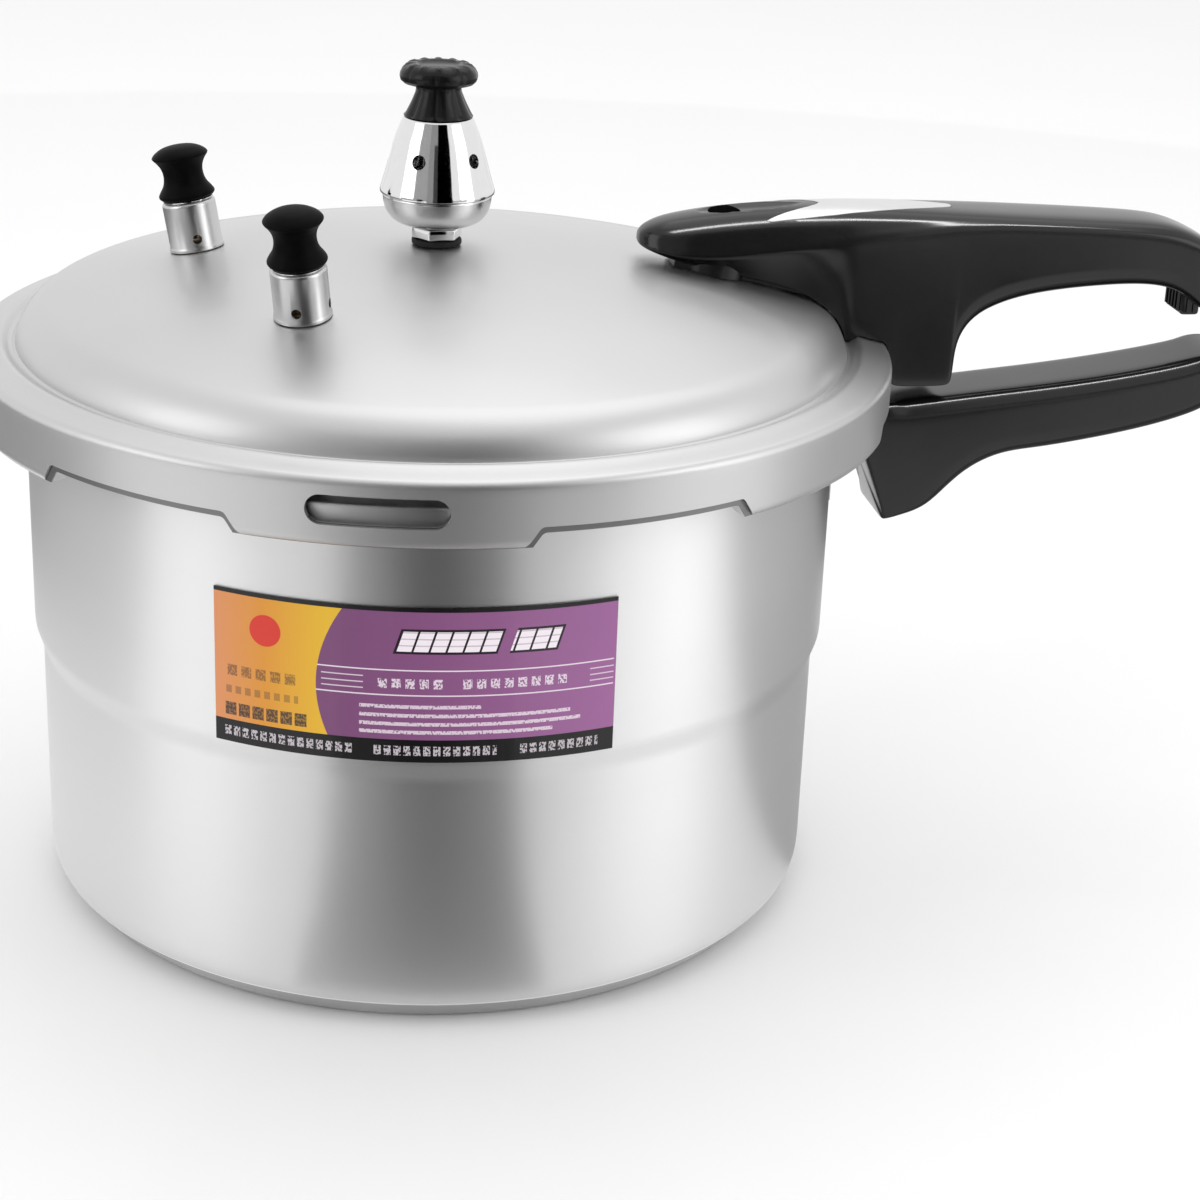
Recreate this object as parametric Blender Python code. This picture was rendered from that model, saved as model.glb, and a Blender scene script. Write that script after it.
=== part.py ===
"""Pressure canner: an aluminium pot with a domed bayonet lid, two long handles, a weighted pressure
regulator, two pull-up relief valves and a float valve.

Frame: metres, +Z up, origin on the pot's axis on the plane it stands on, handles along +X.
"""
import math

import bmesh
import bpy
from mathutils import Matrix, Vector

GAP = 0.0003  # between pieces that touch

# pot
POT_R = 0.1225  # outside of the upper wall
POT_LOWER_R = 0.1202  # outside of the wall below the step
POT_WALL = 0.0025
POT_FLOOR = 0.0035
POT_CORNER = 0.009
STEP_Z = 0.0795  # lower end of the step
STEP_HEIGHT = 0.006
RIM_Z = 0.1665
RIM_R = 0.129
RIM_THICK = 0.004

# bayonet
LUG_COUNT = 6
LUG_AZIMUTH = -101.6  # degrees, centre of the front lug
LUG_HALF = 15.5  # degrees, half the width of a lid lug at its lower edge
LUG_SLOPE = 1.25  # degrees taken by each slanted end
POT_TOOTH_HALF = 12.5
POT_TOOTH_R = 0.1345
POT_TOOTH_Z = (0.1562, 0.1630)
LID_TOOTH_R = 0.1305

# lid
LID_TOP_Z = 0.199
DOME_R = 0.430  # radius of the spherical cap
CAP_R = 0.1137  # where the cap meets the shoulder
SHOULDER = 0.0155
LID_THICK = 0.0025
SKIRT_R = 0.1385
SKIRT_Z = 0.1582  # lower edge between the lugs
LUG_Z = 0.1523  # lower edge of the lugs
LUG_FLANGE = 0.0033

# fittings on the dome: distance from the axis and azimuth in degrees
RELIEF_A = (0.0739, 163.0)
RELIEF_B = (0.0718, -126.7)
FLOAT_AT = (0.085, 0.0)
SCREW_FRONT_AT = (0.099, 0.0)
SCREW_REAR_AT = (0.110, 0.0)

# handles
HANDLE_HALF = 0.0145
FLOAT_HOLE_R = 0.005
BRACKET_Z = (0.119, 0.1515)
TONGUE_Z = (0.135, 0.142)
TONGUE_END = 0.160
TONGUE_HALF = 0.007
RIVET_Z = {"pot_rivet_upper": 0.1467, "pot_rivet_lower": 0.1265}
POT_SCREW_X = 0.151

# valves: heights are above the dome, along each valve's own axis
SHELL_R = 0.008
SHELL_TOP = 0.015
BELL_HOLE_Z = 0.2262
BELL_HOLES = 5
BELL_HOLE_TURN = -119.0  # degrees, the first hole in the regulator's bell


# ---------------------------------------------------------------- helpers

def material(name, colour, roughness, metallic=0.0):
    mat = bpy.data.materials.new(name)
    mat.use_nodes = True
    shader = mat.node_tree.nodes["Principled BSDF"]
    shader.inputs["Base Color"].default_value = (*colour, 1.0)
    shader.inputs["Roughness"].default_value = roughness
    shader.inputs["Metallic"].default_value = metallic
    return mat


def add(name, bm, mat, parent=None, place=None):
    """Finish a bmesh as an object; its faces point outwards and it is shaded smooth."""
    bmesh.ops.recalc_face_normals(bm, faces=bm.faces)
    mesh = bpy.data.meshes.new(name)
    bm.to_mesh(mesh)
    bm.free()
    mesh.shade_smooth()
    mesh.set_sharp_from_angle(angle=math.radians(35))
    obj = bpy.data.objects.new(name, mesh)
    bpy.context.scene.collection.objects.link(obj)
    if mat:
        mesh.materials.append(mat)
    if parent:
        obj.parent = parent
    if place:
        obj.matrix_local = place
    return obj


def arc(centre, radius, start, end, steps):
    """Points on an arc in the (radius, height) plane, angles in degrees from the +r direction."""
    points = []
    for i in range(steps + 1):
        a = math.radians(start + (end - start) * i / steps)
        points.append((centre[0] + radius * math.cos(a), centre[1] + radius * math.sin(a)))
    return points


def turned_mesh(bm, profile, segments):
    """Spin a closed (r, z) outline round the Z axis; a point with r = 0 is a pole."""
    rings = []
    for r, z in profile:
        if r == 0:
            rings.append([bm.verts.new((0, 0, z))])
            continue
        turns = [2 * math.pi * i / segments for i in range(segments)]
        rings.append([bm.verts.new((r * math.cos(a), r * math.sin(a), z)) for a in turns])
    for here, there in zip(rings, rings[1:] + rings[:1]):
        if len(here) == 1 and len(there) == 1:
            continue
        for i in range(segments):
            j = (i + 1) % segments
            corners = [here[i % len(here)], here[j % len(here)], there[j % len(there)], there[i % len(there)]]
            bm.faces.new(list(dict.fromkeys(corners)))


def turned(name, profile, mat, segments=24, parent=None, place=None):
    bm = bmesh.new()
    turned_mesh(bm, profile, segments)
    return add(name, bm, mat, parent, place)


def tube_profile(inner, outer, low, high):
    return [(outer, high), (outer, low), (inner, low), (inner, high)]


def loft(bm, sections):
    """Join equal rings of points and cap both ends."""
    rings = [[bm.verts.new(p) for p in section] for section in sections]
    count = len(rings[0])
    for here, there in zip(rings, rings[1:]):
        for i in range(count):
            j = (i + 1) % count
            bm.faces.new((here[i], here[j], there[j], there[i]))
    bm.faces.new(rings[0])
    bm.faces.new(reversed(rings[-1]))


def sector(bm, centre, half_low, half_high, radii, heights, steps):
    """A curved block: angles in degrees, narrower or wider at the top than at the bottom."""
    sections = []
    for i in range(steps + 1):
        t = -1 + 2 * i / steps
        low = math.radians(centre + t * half_low)
        high = math.radians(centre + t * half_high)
        ring = []
        for r, angle, z in ((radii[0], low, heights[0]), (radii[1], low, heights[0]),
                            (radii[1], high, heights[1]), (radii[0], high, heights[1])):
            ring.append((r * math.cos(angle), r * math.sin(angle), z))
        sections.append(ring)
    loft(bm, sections)


def slab(bm, outline, half_width):
    """A plate from a side outline (x, z); half_width is a number or a function of x."""
    width = half_width if callable(half_width) else lambda x: half_width
    loft(bm, [[(x, side * width(x), z) for x, z in outline] for side in (-1, 1)])


def plate(bm, outline, low, high):
    """A plate from a plan outline (x, y) between two heights."""
    loft(bm, [[(x, y, z) for x, y in outline] for z in (low, high)])


def cut(target, cutter, operation="DIFFERENCE"):
    """Apply a Boolean with a guide body that is kept out of the model."""
    cutter.hide_render = True
    cutter.display_type = "WIRE"
    mod = target.modifiers.new(cutter.name, "BOOLEAN")
    mod.operation = operation
    mod.solver = "EXACT"
    mod.object = cutter


def drill(target, name, radius, low, high, parent=None, place=None, segments=12):
    rod = turned(name, [(0, high), (radius, high), (radius, low), (0, low)], None, segments, parent, place)
    cut(target, rod)


def bevel(obj, width, segments=1):
    mod = obj.modifiers.new("edges", "BEVEL")
    mod.width = width
    mod.segments = segments
    mod.limit_method = "ANGLE"
    mod.angle_limit = math.radians(40)


def dome_z(r):
    """Height of the lid's outer surface on its spherical cap."""
    return LID_TOP_Z - DOME_R + math.sqrt(DOME_R ** 2 - r ** 2)


def dome_axis(name, spot):
    """An empty on the dome's surface with its Z axis square to the dome."""
    r, azimuth = spot[0], math.radians(spot[1])
    place = Matrix.Rotation(azimuth, 4, "Z") @ Matrix.Translation((r, 0, dome_z(r)))
    place = place @ Matrix.Rotation(math.asin(r / DOME_R), 4, "Y")
    empty = bpy.data.objects.new(name, None)
    bpy.context.scene.collection.objects.link(empty)
    empty.matrix_world = place
    return empty


def lug_centres():
    return [LUG_AZIMUTH + 360 / LUG_COUNT * i for i in range(LUG_COUNT)]


# ---------------------------------------------------------------- pot

def make_pot(mats):
    inner = POT_R - POT_WALL
    inner_low = POT_LOWER_R - POT_WALL
    profile = [(inner, RIM_Z), (RIM_R, RIM_Z), (RIM_R, RIM_Z - RIM_THICK), (POT_R, RIM_Z - 2 * RIM_THICK)]
    profile += [(POT_R, STEP_Z + STEP_HEIGHT), (POT_LOWER_R, STEP_Z)]
    profile += arc((POT_LOWER_R - POT_CORNER, POT_CORNER), POT_CORNER, 0, -90, 4) + [(0, 0), (0, POT_FLOOR)]
    corner = POT_CORNER - POT_WALL
    profile += arc((inner_low - corner, POT_FLOOR + corner), corner, -90, 0, 3)
    profile += [(inner_low, STEP_Z + POT_WALL), (inner, STEP_Z + STEP_HEIGHT)]
    pot = turned("pot_body", profile, mats["aluminium"], 60)
    teeth = bmesh.new()
    for centre in lug_centres():
        sector(teeth, centre, POT_TOOTH_HALF, POT_TOOTH_HALF, (RIM_R - 0.002, POT_TOOTH_R),
               POT_TOOTH_Z, 4)
    cut(pot, add("pot_teeth", teeth, None), "UNION")
    return pot


def make_label(mats):
    bm = bmesh.new()
    sector(bm, -98.1, 26.4, 26.4, (POT_R + GAP, POT_R + 2 * GAP), (0.0853, 0.1305), 10)
    add("pot_label", bm, mats["label"])


def make_bracket(pot, mats):
    """A riveted plate with a tongue that the lower handle slides over."""
    face = POT_R + GAP
    bm = bmesh.new()
    sector(bm, 0, 5, 5, (face, face + 0.002), BRACKET_Z, 4)
    bracket = add("pot_bracket", bm, mats["steel"])
    bm = bmesh.new()
    slab(bm, [(face + 0.001, TONGUE_Z[0]), (TONGUE_END, TONGUE_Z[0]),
              (TONGUE_END, TONGUE_Z[1]), (face + 0.001, TONGUE_Z[1])], TONGUE_HALF)
    cut(bracket, add("bracket_tongue", bm, None), "UNION")
    drill(bracket, "bracket_thread", 0.0026, TONGUE_Z[0] - 0.001, TONGUE_Z[1] + 0.001,
          place=Matrix.Translation((POT_SCREW_X, 0, 0)))
    shank, head = 0.002, 0.0042
    flush, outside = POT_R - POT_WALL + GAP, face + 0.002 + GAP
    for name, z in RIVET_Z.items():
        place = Matrix.Translation((0, 0, z)) @ Matrix.Rotation(math.radians(90), 4, "Y")
        for target in (pot, bracket):
            drill(target, name + "_hole_" + target.name, shank + GAP, 0.110, 0.132, place=place, segments=10)
        profile = [(0, outside + 0.0014), (head * 0.6, outside + 0.0014), (head, outside), (shank, outside),
                   (shank, flush), (0, flush)]
        turned(name, profile, mats["aluminium"], 12, place=place)


def make_pot_handle(mats):
    """Side outline of the lower handle, from the inner top corner round by the foot to the tip."""
    outline = [(0.1270, 0.1485), (0.1290, 0.1455), (0.1354, 0.1282), (0.1401, 0.1129), (0.1492, 0.1143)]
    outline += [(0.1556, 0.1165), (0.1616, 0.1224), (0.1676, 0.1283), (0.1754, 0.1329), (0.1917, 0.1350)]
    outline += [(0.2112, 0.1383), (0.2275, 0.1418), (0.2433, 0.1465), (0.2520, 0.1515), (0.2560, 0.1580)]
    outline += [(0.2550, 0.1638), (0.2500, 0.1658), (0.2440, 0.1650), (0.2320, 0.1628), (0.2080, 0.1588)]
    outline += [(0.1760, 0.1550), (0.1460, 0.1516), (0.1390, 0.1495)]
    bm = bmesh.new()
    slab(bm, outline, HANDLE_HALF)
    handle = add("pot_handle", bm, mats["bakelite"])
    bevel(handle, 0.002)
    bm = bmesh.new()
    low, high = TONGUE_Z[0] - GAP, TONGUE_Z[1] + GAP
    slab(bm, [(0.120, low), (TONGUE_END + GAP, low), (TONGUE_END + GAP, high), (0.120, high)],
         TONGUE_HALF + GAP)
    cut(handle, add("handle_pocket", bm, None))
    at = Matrix.Translation((POT_SCREW_X, 0, 0))
    drill(handle, "screw_hole", 0.0028, 0.110, 0.1365, place=at)
    seat = 0.1215
    drill(handle, "screw_counterbore", 0.0052, 0.105, seat, place=at, segments=16)
    shank, head = 0.0023, 0.0047
    under = seat - GAP
    profile = [(0, TONGUE_Z[1]), (shank, TONGUE_Z[1]), (shank, under), (head, under), (head, under - 0.002),
               (head * 0.7, under - 0.0033), (0, under - 0.0033)]
    turned("pot_handle_screw", profile, mats["steel"], 12, place=at)


def make_rack(mats):
    """Perforated plate that rests on the pot's inner step."""
    low = STEP_Z + STEP_HEIGHT + 0.001
    rack = turned("steam_rack", tube_profile(0.010, 0.1195, low, low + 0.0012), mats["aluminium"], 40)
    holes = bmesh.new()
    for ring, count in ((0.046, 8), (0.088, 14)):
        for i in range(count):
            angle = 2 * math.pi * i / count
            at = Vector((ring * math.cos(angle), ring * math.sin(angle), 0))
            outline = [(at.x + 0.005 * math.cos(t * math.pi / 3), at.y + 0.005 * math.sin(t * math.pi / 3))
                       for t in range(6)]
            plate(holes, outline, low - 0.002, low + 0.004)
    cut(rack, add("rack_holes", holes, None))


# ---------------------------------------------------------------- lid

def make_lid(mats):
    cap_angle = math.degrees(math.asin(CAP_R / DOME_R))
    hub = (CAP_R - SHOULDER * CAP_R / DOME_R, dome_z(CAP_R) - SHOULDER * math.cos(math.radians(cap_angle)))
    centre = (0, LID_TOP_Z - DOME_R)
    hole = 0.004  # for the vent pipe, in the middle
    first = 90 - math.degrees(math.asin(hole / DOME_R))
    profile = arc(centre, DOME_R, first, 90 - cap_angle, 5)[:-1]
    profile += arc(hub, SHOULDER, 90 - cap_angle, 11.4, 4)
    profile += [(0.1262, 0.1714), (0.1295, 0.1732), (0.1350, 0.1718), (0.1372, 0.1701), (SKIRT_R, 0.1680)]
    profile += [(SKIRT_R, LUG_Z), (LID_TOOTH_R, LUG_Z), (LID_TOOTH_R, LUG_Z + LUG_FLANGE)]
    inner = SKIRT_R - LID_THICK
    profile += [(inner, LUG_Z + LUG_FLANGE), (inner, 0.1672), (0.1335, 0.1693), (0.1235, 0.1692)]
    profile += arc(hub, SHOULDER - LID_THICK, 20, 90 - cap_angle, 3)[:-1]
    profile += arc(centre, DOME_R - LID_THICK, 90 - cap_angle, first, 5)
    lid = turned("lid_shell", profile, mats["lid"], 60)

    gaps = bmesh.new()
    half_gap = 180 / LUG_COUNT - LUG_HALF
    for lug in lug_centres():
        sector(gaps, lug + 180 / LUG_COUNT, half_gap, half_gap - LUG_SLOPE, (0.126, 0.142),
               (LUG_Z - 0.001, SKIRT_Z), 5)
    cut(lid, add("lug_gaps", gaps, None))

    window = bmesh.new()
    half, tall = 0.0148, 0.0041
    ends = arc((half, 0.1624), tall, -90, 90, 6) + arc((-half, 0.1624), tall, 90, 270, 6)
    slab(window, ends, 0.004)
    turn = Matrix.Rotation(math.radians(LUG_AZIMUTH - 0.3 + 90), 4, "Z") @ Matrix.Translation((0, -0.1372, 0))
    cut(lid, add("relief_window", window, None, place=turn))
    return lid


def make_gasket(mats):
    """Rubber ring that sits on the pot's rim under the lid."""
    low = RIM_Z + GAP
    profile = [(0.1325, low + 0.0020), (0.1325, low), (0.1215, low), (0.1215, low + 0.0018), (0.1240, low + 0.0021)]
    turned("sealing_gasket", profile, mats["rubber"], 48)


def lid_handle_half(x):
    """Half the handle's width: a rounded nose, then almost parallel sides."""
    nose = min(1.0, max(0.0, (x - 0.0600) / 0.024))
    return HANDLE_HALF * math.sqrt(1 - (1 - nose) ** 2) * 0.9 + 0.0015


def make_lid_handle(lid, mats):
    outline = [(0.0610, 0.2020), (0.0635, 0.2048), (0.0700, 0.2075), (0.0820, 0.2095), (0.0970, 0.2110)]
    outline += [(0.1210, 0.2118), (0.1450, 0.2115), (0.1770, 0.2103), (0.2100, 0.2088), (0.2260, 0.2072)]
    outline += [(0.2360, 0.2040), (0.2450, 0.1980), (0.2500, 0.1910), (0.2523, 0.1840), (0.2515, 0.1800)]
    outline += [(0.2470, 0.1785), (0.2320, 0.1795), (0.2290, 0.1815), (0.2275, 0.1872), (0.2210, 0.1882)]
    outline += [(0.2050, 0.1877), (0.1920, 0.1864), (0.1795, 0.1843), (0.1702, 0.1804), (0.1627, 0.1754)]
    outline += [(0.1600, 0.1699), (0.1582, 0.1645), (0.1577, 0.1600), (0.1560, 0.1578), (0.1530, 0.1568)]
    outline += [(0.1410, 0.1568), (0.1392, 0.1580), (0.1392, 0.1739), (0.1262, 0.1739)]
    hub = (CAP_R - SHOULDER * CAP_R / DOME_R, dome_z(CAP_R) - SHOULDER * math.sqrt(1 - (CAP_R / DOME_R) ** 2))
    outline += arc(hub, SHOULDER + 2 * GAP, 25, 74, 3)
    outline += [(r, dome_z(r) + 2 * GAP) for r in (0.105, 0.090, 0.075, 0.0640)] + [(0.0612, 0.1985)]
    bm = bmesh.new()
    slab(bm, outline, lid_handle_half)
    handle = add("lid_handle", bm, mats["bakelite"])
    bevel(handle, 0.0015)

    drill(handle, "float_hole", FLOAT_HOLE_R, 0.190, 0.220, place=Matrix.Translation((FLOAT_AT[0] + 0.0025, 0, 0)),
          segments=16)
    float_axis = dome_axis("float_valve_axis", FLOAT_AT)
    drill(handle, "float_room", 0.0085, -0.004, 0.0115, float_axis, segments=16)

    for name, spot in (("front", SCREW_FRONT_AT), ("rear", SCREW_REAR_AT)):
        axis = dome_axis("screw_axis_" + name, spot)
        shank = 0.0018
        drill(lid, "lid_hole_" + name, shank + GAP, -0.006, 0.004, axis, segments=10)
        drill(handle, "handle_hole_" + name, shank + GAP, -0.006, 0.0115, axis, segments=10)
        under = -LID_THICK - GAP
        profile = [(0, 0.011), (shank, 0.011), (shank, under), (0.0040, under), (0.0040, under - 0.0015),
                   (0.0026, under - 0.0026), (0, under - 0.0026)]
        turned("lid_handle_screw_" + name, profile, mats["steel"], 12, axis)

    plan = [(0.1585, 0), (0.1500, 0.0042), (0.1300, 0.0085), (0.1130, 0.0104), (0.0990, 0.0106), (0.1080, 0.0066)]
    plan += [(0.1165, 0)] + [(x, -y) for x, y in reversed(plan[1:])]
    floor = 0.2100
    bm = bmesh.new()
    plate(bm, plan, floor, 0.2116)
    add("lid_handle_inlay", bm, mats["inlay"])
    middle = Vector((0.128, 0))
    wider = []
    for x, y in plan:
        away = Vector((x, y)) - middle
        wider.append(middle + away * (1 + 0.0012 / away.length))
    bm = bmesh.new()
    plate(bm, wider, floor - GAP, 0.2200)
    cut(handle, add("inlay_pocket", bm, None))
    return float_axis


# ---------------------------------------------------------------- valves

def hex_nut(name, across, bore, low, high, mat, parent=None):
    """A hexagonal nut with a plain bore, as one closed ring."""
    bm = bmesh.new()
    corner = across / math.sqrt(3)
    rings = []
    for radius_of, z in ((lambda i: bore, low), (lambda i: bore, high),
                         (lambda i: corner if i % 2 == 0 else across / 2, high),
                         (lambda i: corner if i % 2 == 0 else across / 2, low)):
        ring = []
        for i in range(12):
            a = math.pi / 6 * i
            ring.append(bm.verts.new((radius_of(i) * math.cos(a), radius_of(i) * math.sin(a), z)))
        rings.append(ring)
    for here, there in zip(rings, rings[1:] + rings[:1]):
        for i in range(12):
            j = (i + 1) % 12
            bm.faces.new((here[i], here[j], there[j], there[i]))
    return add(name, bm, mat, parent)


def coil_spring(name, radius, wire, low, high, turns, mat, parent):
    """A round-wire compression spring as one tube."""
    bm = bmesh.new()
    steps, sides = int(turns * 10), 5
    low, high = low + wire, high - wire
    sections = []
    for i in range(steps + 1):
        t = i / steps
        a = 2 * math.pi * turns * t
        outward = Vector((math.cos(a), math.sin(a), 0))
        centre = outward * radius + Vector((0, 0, low + (high - low) * t))
        ring = []
        for k in range(sides):
            b = 2 * math.pi * k / sides
            ring.append(centre + wire * (math.cos(b) * outward + math.sin(b) * Vector((0, 0, 1))))
        sections.append(ring)
    loft(bm, sections)
    return add(name, bm, mat, parent)


def dome_nut_and_seal(prefix, axis, bore, seal_r, mats):
    """The seal and the hexagonal nut that clamp a fitting from inside the lid."""
    top = -LID_THICK - GAP
    turned(prefix + "_seal", tube_profile(bore + GAP, seal_r, top - 0.0016, top), mats["rubber"], 16, axis)
    nut_top = top - 0.0016 - GAP
    hex_nut(prefix + "_nut", 0.012, bore + GAP, nut_top - 0.003, nut_top, mats["steel"], axis)


def make_relief_valve(prefix, spot, lid, mats):
    """Spring-loaded relief valve: the knob and stem pull up along the dome's normal."""
    axis = dome_axis(prefix + "_axis", spot)
    shank, bore = 0.0035, 0.0012
    drill(lid, prefix + "_lid_hole", shank + GAP, -0.006, 0.004, axis, segments=12)
    profile = [(bore, 0.0030), (0.0058, 0.0030), (0.0058, GAP), (shank, GAP), (shank, -0.0085), (bore, -0.0085)]
    turned(prefix + "_seat", profile, mats["brass"], 12, axis)
    dome_nut_and_seal(prefix, axis, shank, 0.0065, mats)

    inner = SHELL_R - 0.0008
    profile = [(0.0026, SHELL_TOP), (SHELL_R, SHELL_TOP), (SHELL_R, GAP), (inner, GAP),
               (inner, SHELL_TOP - 0.0010), (0.0026, SHELL_TOP - 0.0010)]
    shell = turned(prefix + "_shell", profile, mats["chrome"], 20, axis)
    for turn in (22, 112):
        side = Matrix.Rotation(math.radians(turn), 4, "Z") @ Matrix.Translation((0, 0, 0.0040))
        drill(shell, prefix + "_hole_" + str(turn), 0.0014, -0.010, 0.010, axis,
              side @ Matrix.Rotation(math.radians(90), 4, "Y"), 8)

    stem = [(0, 0.0270), (0.0015, 0.0270), (0.0015, 0.0062), (0.0046, 0.0062), (0.0046, 0.0052),
            (0.0015, 0.0052), (0.0015, 0.0042), (0.0006, 0.0033), (0, 0.0033)]
    turned(prefix + "_stem", stem, mats["steel"], 10, axis)
    coil_spring(prefix + "_spring", 0.0036, 0.00045, 0.0062 + GAP, SHELL_TOP - 0.0010 - GAP, 4, mats["steel"], axis)

    low = SHELL_TOP + 0.0006
    spool = [(0, low + 0.0162), (0.0045, low + 0.0158), (0.0078, low + 0.0142), (0.0085, low + 0.0128)]
    spool += [(0.0066, low + 0.0108), (0.0059, low + 0.0078), (0.0066, low + 0.0045), (0.0082, low + 0.0020)]
    spool += [(0.0083, low + 0.0006), (0.0078, low), (0.0018, low), (0.0018, 0.0273), (0, 0.0273)]
    turned(prefix + "_knob", spool, mats["bakelite"], 20, axis)


def make_vent(mats):
    """Vent pipe in the middle of the dome with its nut, seals and inner filter."""
    shank = 0.0035
    inside = LID_TOP_Z - LID_THICK
    profile = [(0.0013, 0.2160), (0.0022, 0.2160), (shank, 0.2140), (shank, inside - 0.0022), (0.0070, inside - 0.0022)]
    profile += [(0.0070, inside - 0.0042), (shank, inside - 0.0042), (shank, inside - 0.0090), (0.0013, inside - 0.0090)]
    turned("vent_pipe", profile, mats["steel"], 12)
    turned("vent_seal", tube_profile(shank + GAP, 0.0068, inside - 0.0022 + GAP, inside - GAP), mats["rubber"], 16)
    washer_low = LID_TOP_Z + GAP
    turned("vent_washer", tube_profile(shank + GAP, 0.0075, washer_low, washer_low + 0.0018), mats["rubber"], 20)
    nut_low = washer_low + 0.0018 + GAP
    hex_nut("vent_nut", 0.0135, shank + GAP, nut_low, nut_low + 0.0033, mats["chrome"])

    top = inside - 0.0042 - GAP
    cup = [(shank + GAP, top), (0.0090, top - 0.0010), (0.0090, top - 0.0110), (0.0020, top - 0.0130),
           (0.0020, top - 0.0118), (0.0080, top - 0.0100), (0.0080, top - 0.0018), (shank + GAP, top - 0.0010)]
    vent_filter = turned("vent_filter", cup, mats["steel"], 16)
    for i in range(3):
        bm = bmesh.new()
        slab(bm, [(-0.012, top - 0.0080), (0.012, top - 0.0080), (0.012, top - 0.0035), (-0.012, top - 0.0035)], 0.001)
        turn = Matrix.Rotation(math.radians(60 * i + 11), 4, "Z")
        cut(vent_filter, add("filter_slot_" + str(i), bm, None, place=turn))


def make_regulator(mats):
    """The weight: needle, base ring, bell and knob, centred on the vent pipe."""
    needle = [(0, 0.2345), (0.0016, 0.2345), (0.0016, 0.2262), (0.0040, 0.2262), (0.0040, 0.2200),
              (0.0010, 0.2164), (0.0004, 0.2150), (0, 0.2150)]
    turned("regulator_needle", needle, mats["steel"], 12)

    ring = [(0.0152, 0.2146), (0.0162, 0.2146), (0.0162, 0.2125), (0.0152, 0.2095), (0.0118, 0.2056),
            (0.0045, 0.2054), (0.0045, 0.2071), (0.0110, 0.2074), (0.0148, 0.2118)]
    turned("regulator_base_ring", ring, mats["chrome"], 24)

    bell = [(0.0104, 0.2374), (0.0124, 0.2320), (0.0141, 0.2258), (0.0158, 0.2200), (0.0170, 0.2160),
            (0.0168, 0.2149), (0.0152, 0.2149), (0.0148, 0.2170), (0.0123, 0.2258), (0.0092, 0.2345),
            (0.0022, 0.2352), (0.0022, 0.2374)]
    body = turned("regulator_bell", bell, mats["chrome"], 24)
    for i in range(BELL_HOLES):
        turn = math.radians(BELL_HOLE_TURN + 360 / BELL_HOLES * i)
        side = Matrix.Rotation(turn, 4, "Z") @ Matrix.Translation((0, 0, BELL_HOLE_Z))
        drill(body, "bell_hole_" + str(i), 0.0021, 0.008, 0.020,
              place=side @ Matrix.Rotation(math.radians(90), 4, "Y"), segments=10)

    low = 0.2374 + GAP
    knob = [(0, 0.2534), (0.0070, 0.2534), (0.0105, 0.2520), (0.0116, 0.2494), (0.0108, 0.2475),
            (0.0068, 0.2462), (0.0102, low), (0, low)]
    turned("regulator_knob", knob, mats["bakelite"], 24)


def make_float_valve(axis, lid, mats):
    """Indicator pin in a flanged bush, under the hole in the lid handle."""
    bush, pin = 0.0040, 0.0022
    drill(lid, "float_lid_hole", bush + GAP, -0.006, 0.004, axis, segments=12)
    bore = pin + 0.0004
    profile = [(bore, 0.0030), (0.0065, 0.0030), (0.0065, GAP), (bush, GAP), (bush, -0.0062), (bore, -0.0062)]
    turned("float_valve_bush", profile, mats["steel"], 12, axis)
    top = -LID_THICK - GAP
    turned("float_valve_seal", tube_profile(bush + GAP, 0.0070, top - 0.0020, top), mats["rubber"], 16, axis)
    shape = [(0, 0.0062), (0.0018, 0.0062), (0.0036, 0.0050), (0.0036, 0.0033), (pin, 0.0033), (pin, -0.0106),
             (0.0042, -0.0110), (0.0042, -0.0125), (0, -0.0125)]
    turned("float_valve_pin", shape, mats["rubber_red"], 12, axis)


def main():
    for obj in list(bpy.data.objects):
        bpy.data.objects.remove(obj, do_unlink=True)
    mats = {
        "aluminium": material("polished aluminium", (0.72, 0.73, 0.74), 0.28, 1.0),
        "lid": material("satin aluminium", (0.70, 0.70, 0.69), 0.45, 1.0),
        "steel": material("plain steel", (0.60, 0.60, 0.60), 0.35, 1.0),
        "chrome": material("chrome", (0.80, 0.80, 0.82), 0.08, 1.0),
        "brass": material("brass", (0.78, 0.60, 0.30), 0.35, 1.0),
        "bakelite": material("black bakelite", (0.02, 0.02, 0.022), 0.25),
        "inlay": material("silver inlay", (0.75, 0.75, 0.76), 0.35, 1.0),
        "rubber": material("black rubber", (0.03, 0.03, 0.03), 0.7),
        "rubber_red": material("red indicator", (0.45, 0.04, 0.03), 0.5),
        "label": material("printed label", (0.35, 0.12, 0.35), 0.4),
    }
    pot = make_pot(mats)
    make_label(mats)
    make_bracket(pot, mats)
    make_pot_handle(mats)
    make_rack(mats)
    lid = make_lid(mats)
    make_gasket(mats)
    float_axis = make_lid_handle(lid, mats)
    make_relief_valve("relief_valve_a", RELIEF_A, lid, mats)
    make_relief_valve("relief_valve_b", RELIEF_B, lid, mats)
    make_vent(mats)
    make_regulator(mats)
    make_float_valve(float_axis, lid, mats)


main()
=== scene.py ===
"""Pressure canner: the finished look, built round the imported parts."""
import math
import bmesh
import bpy
from mathutils import Matrix, Vector


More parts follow.
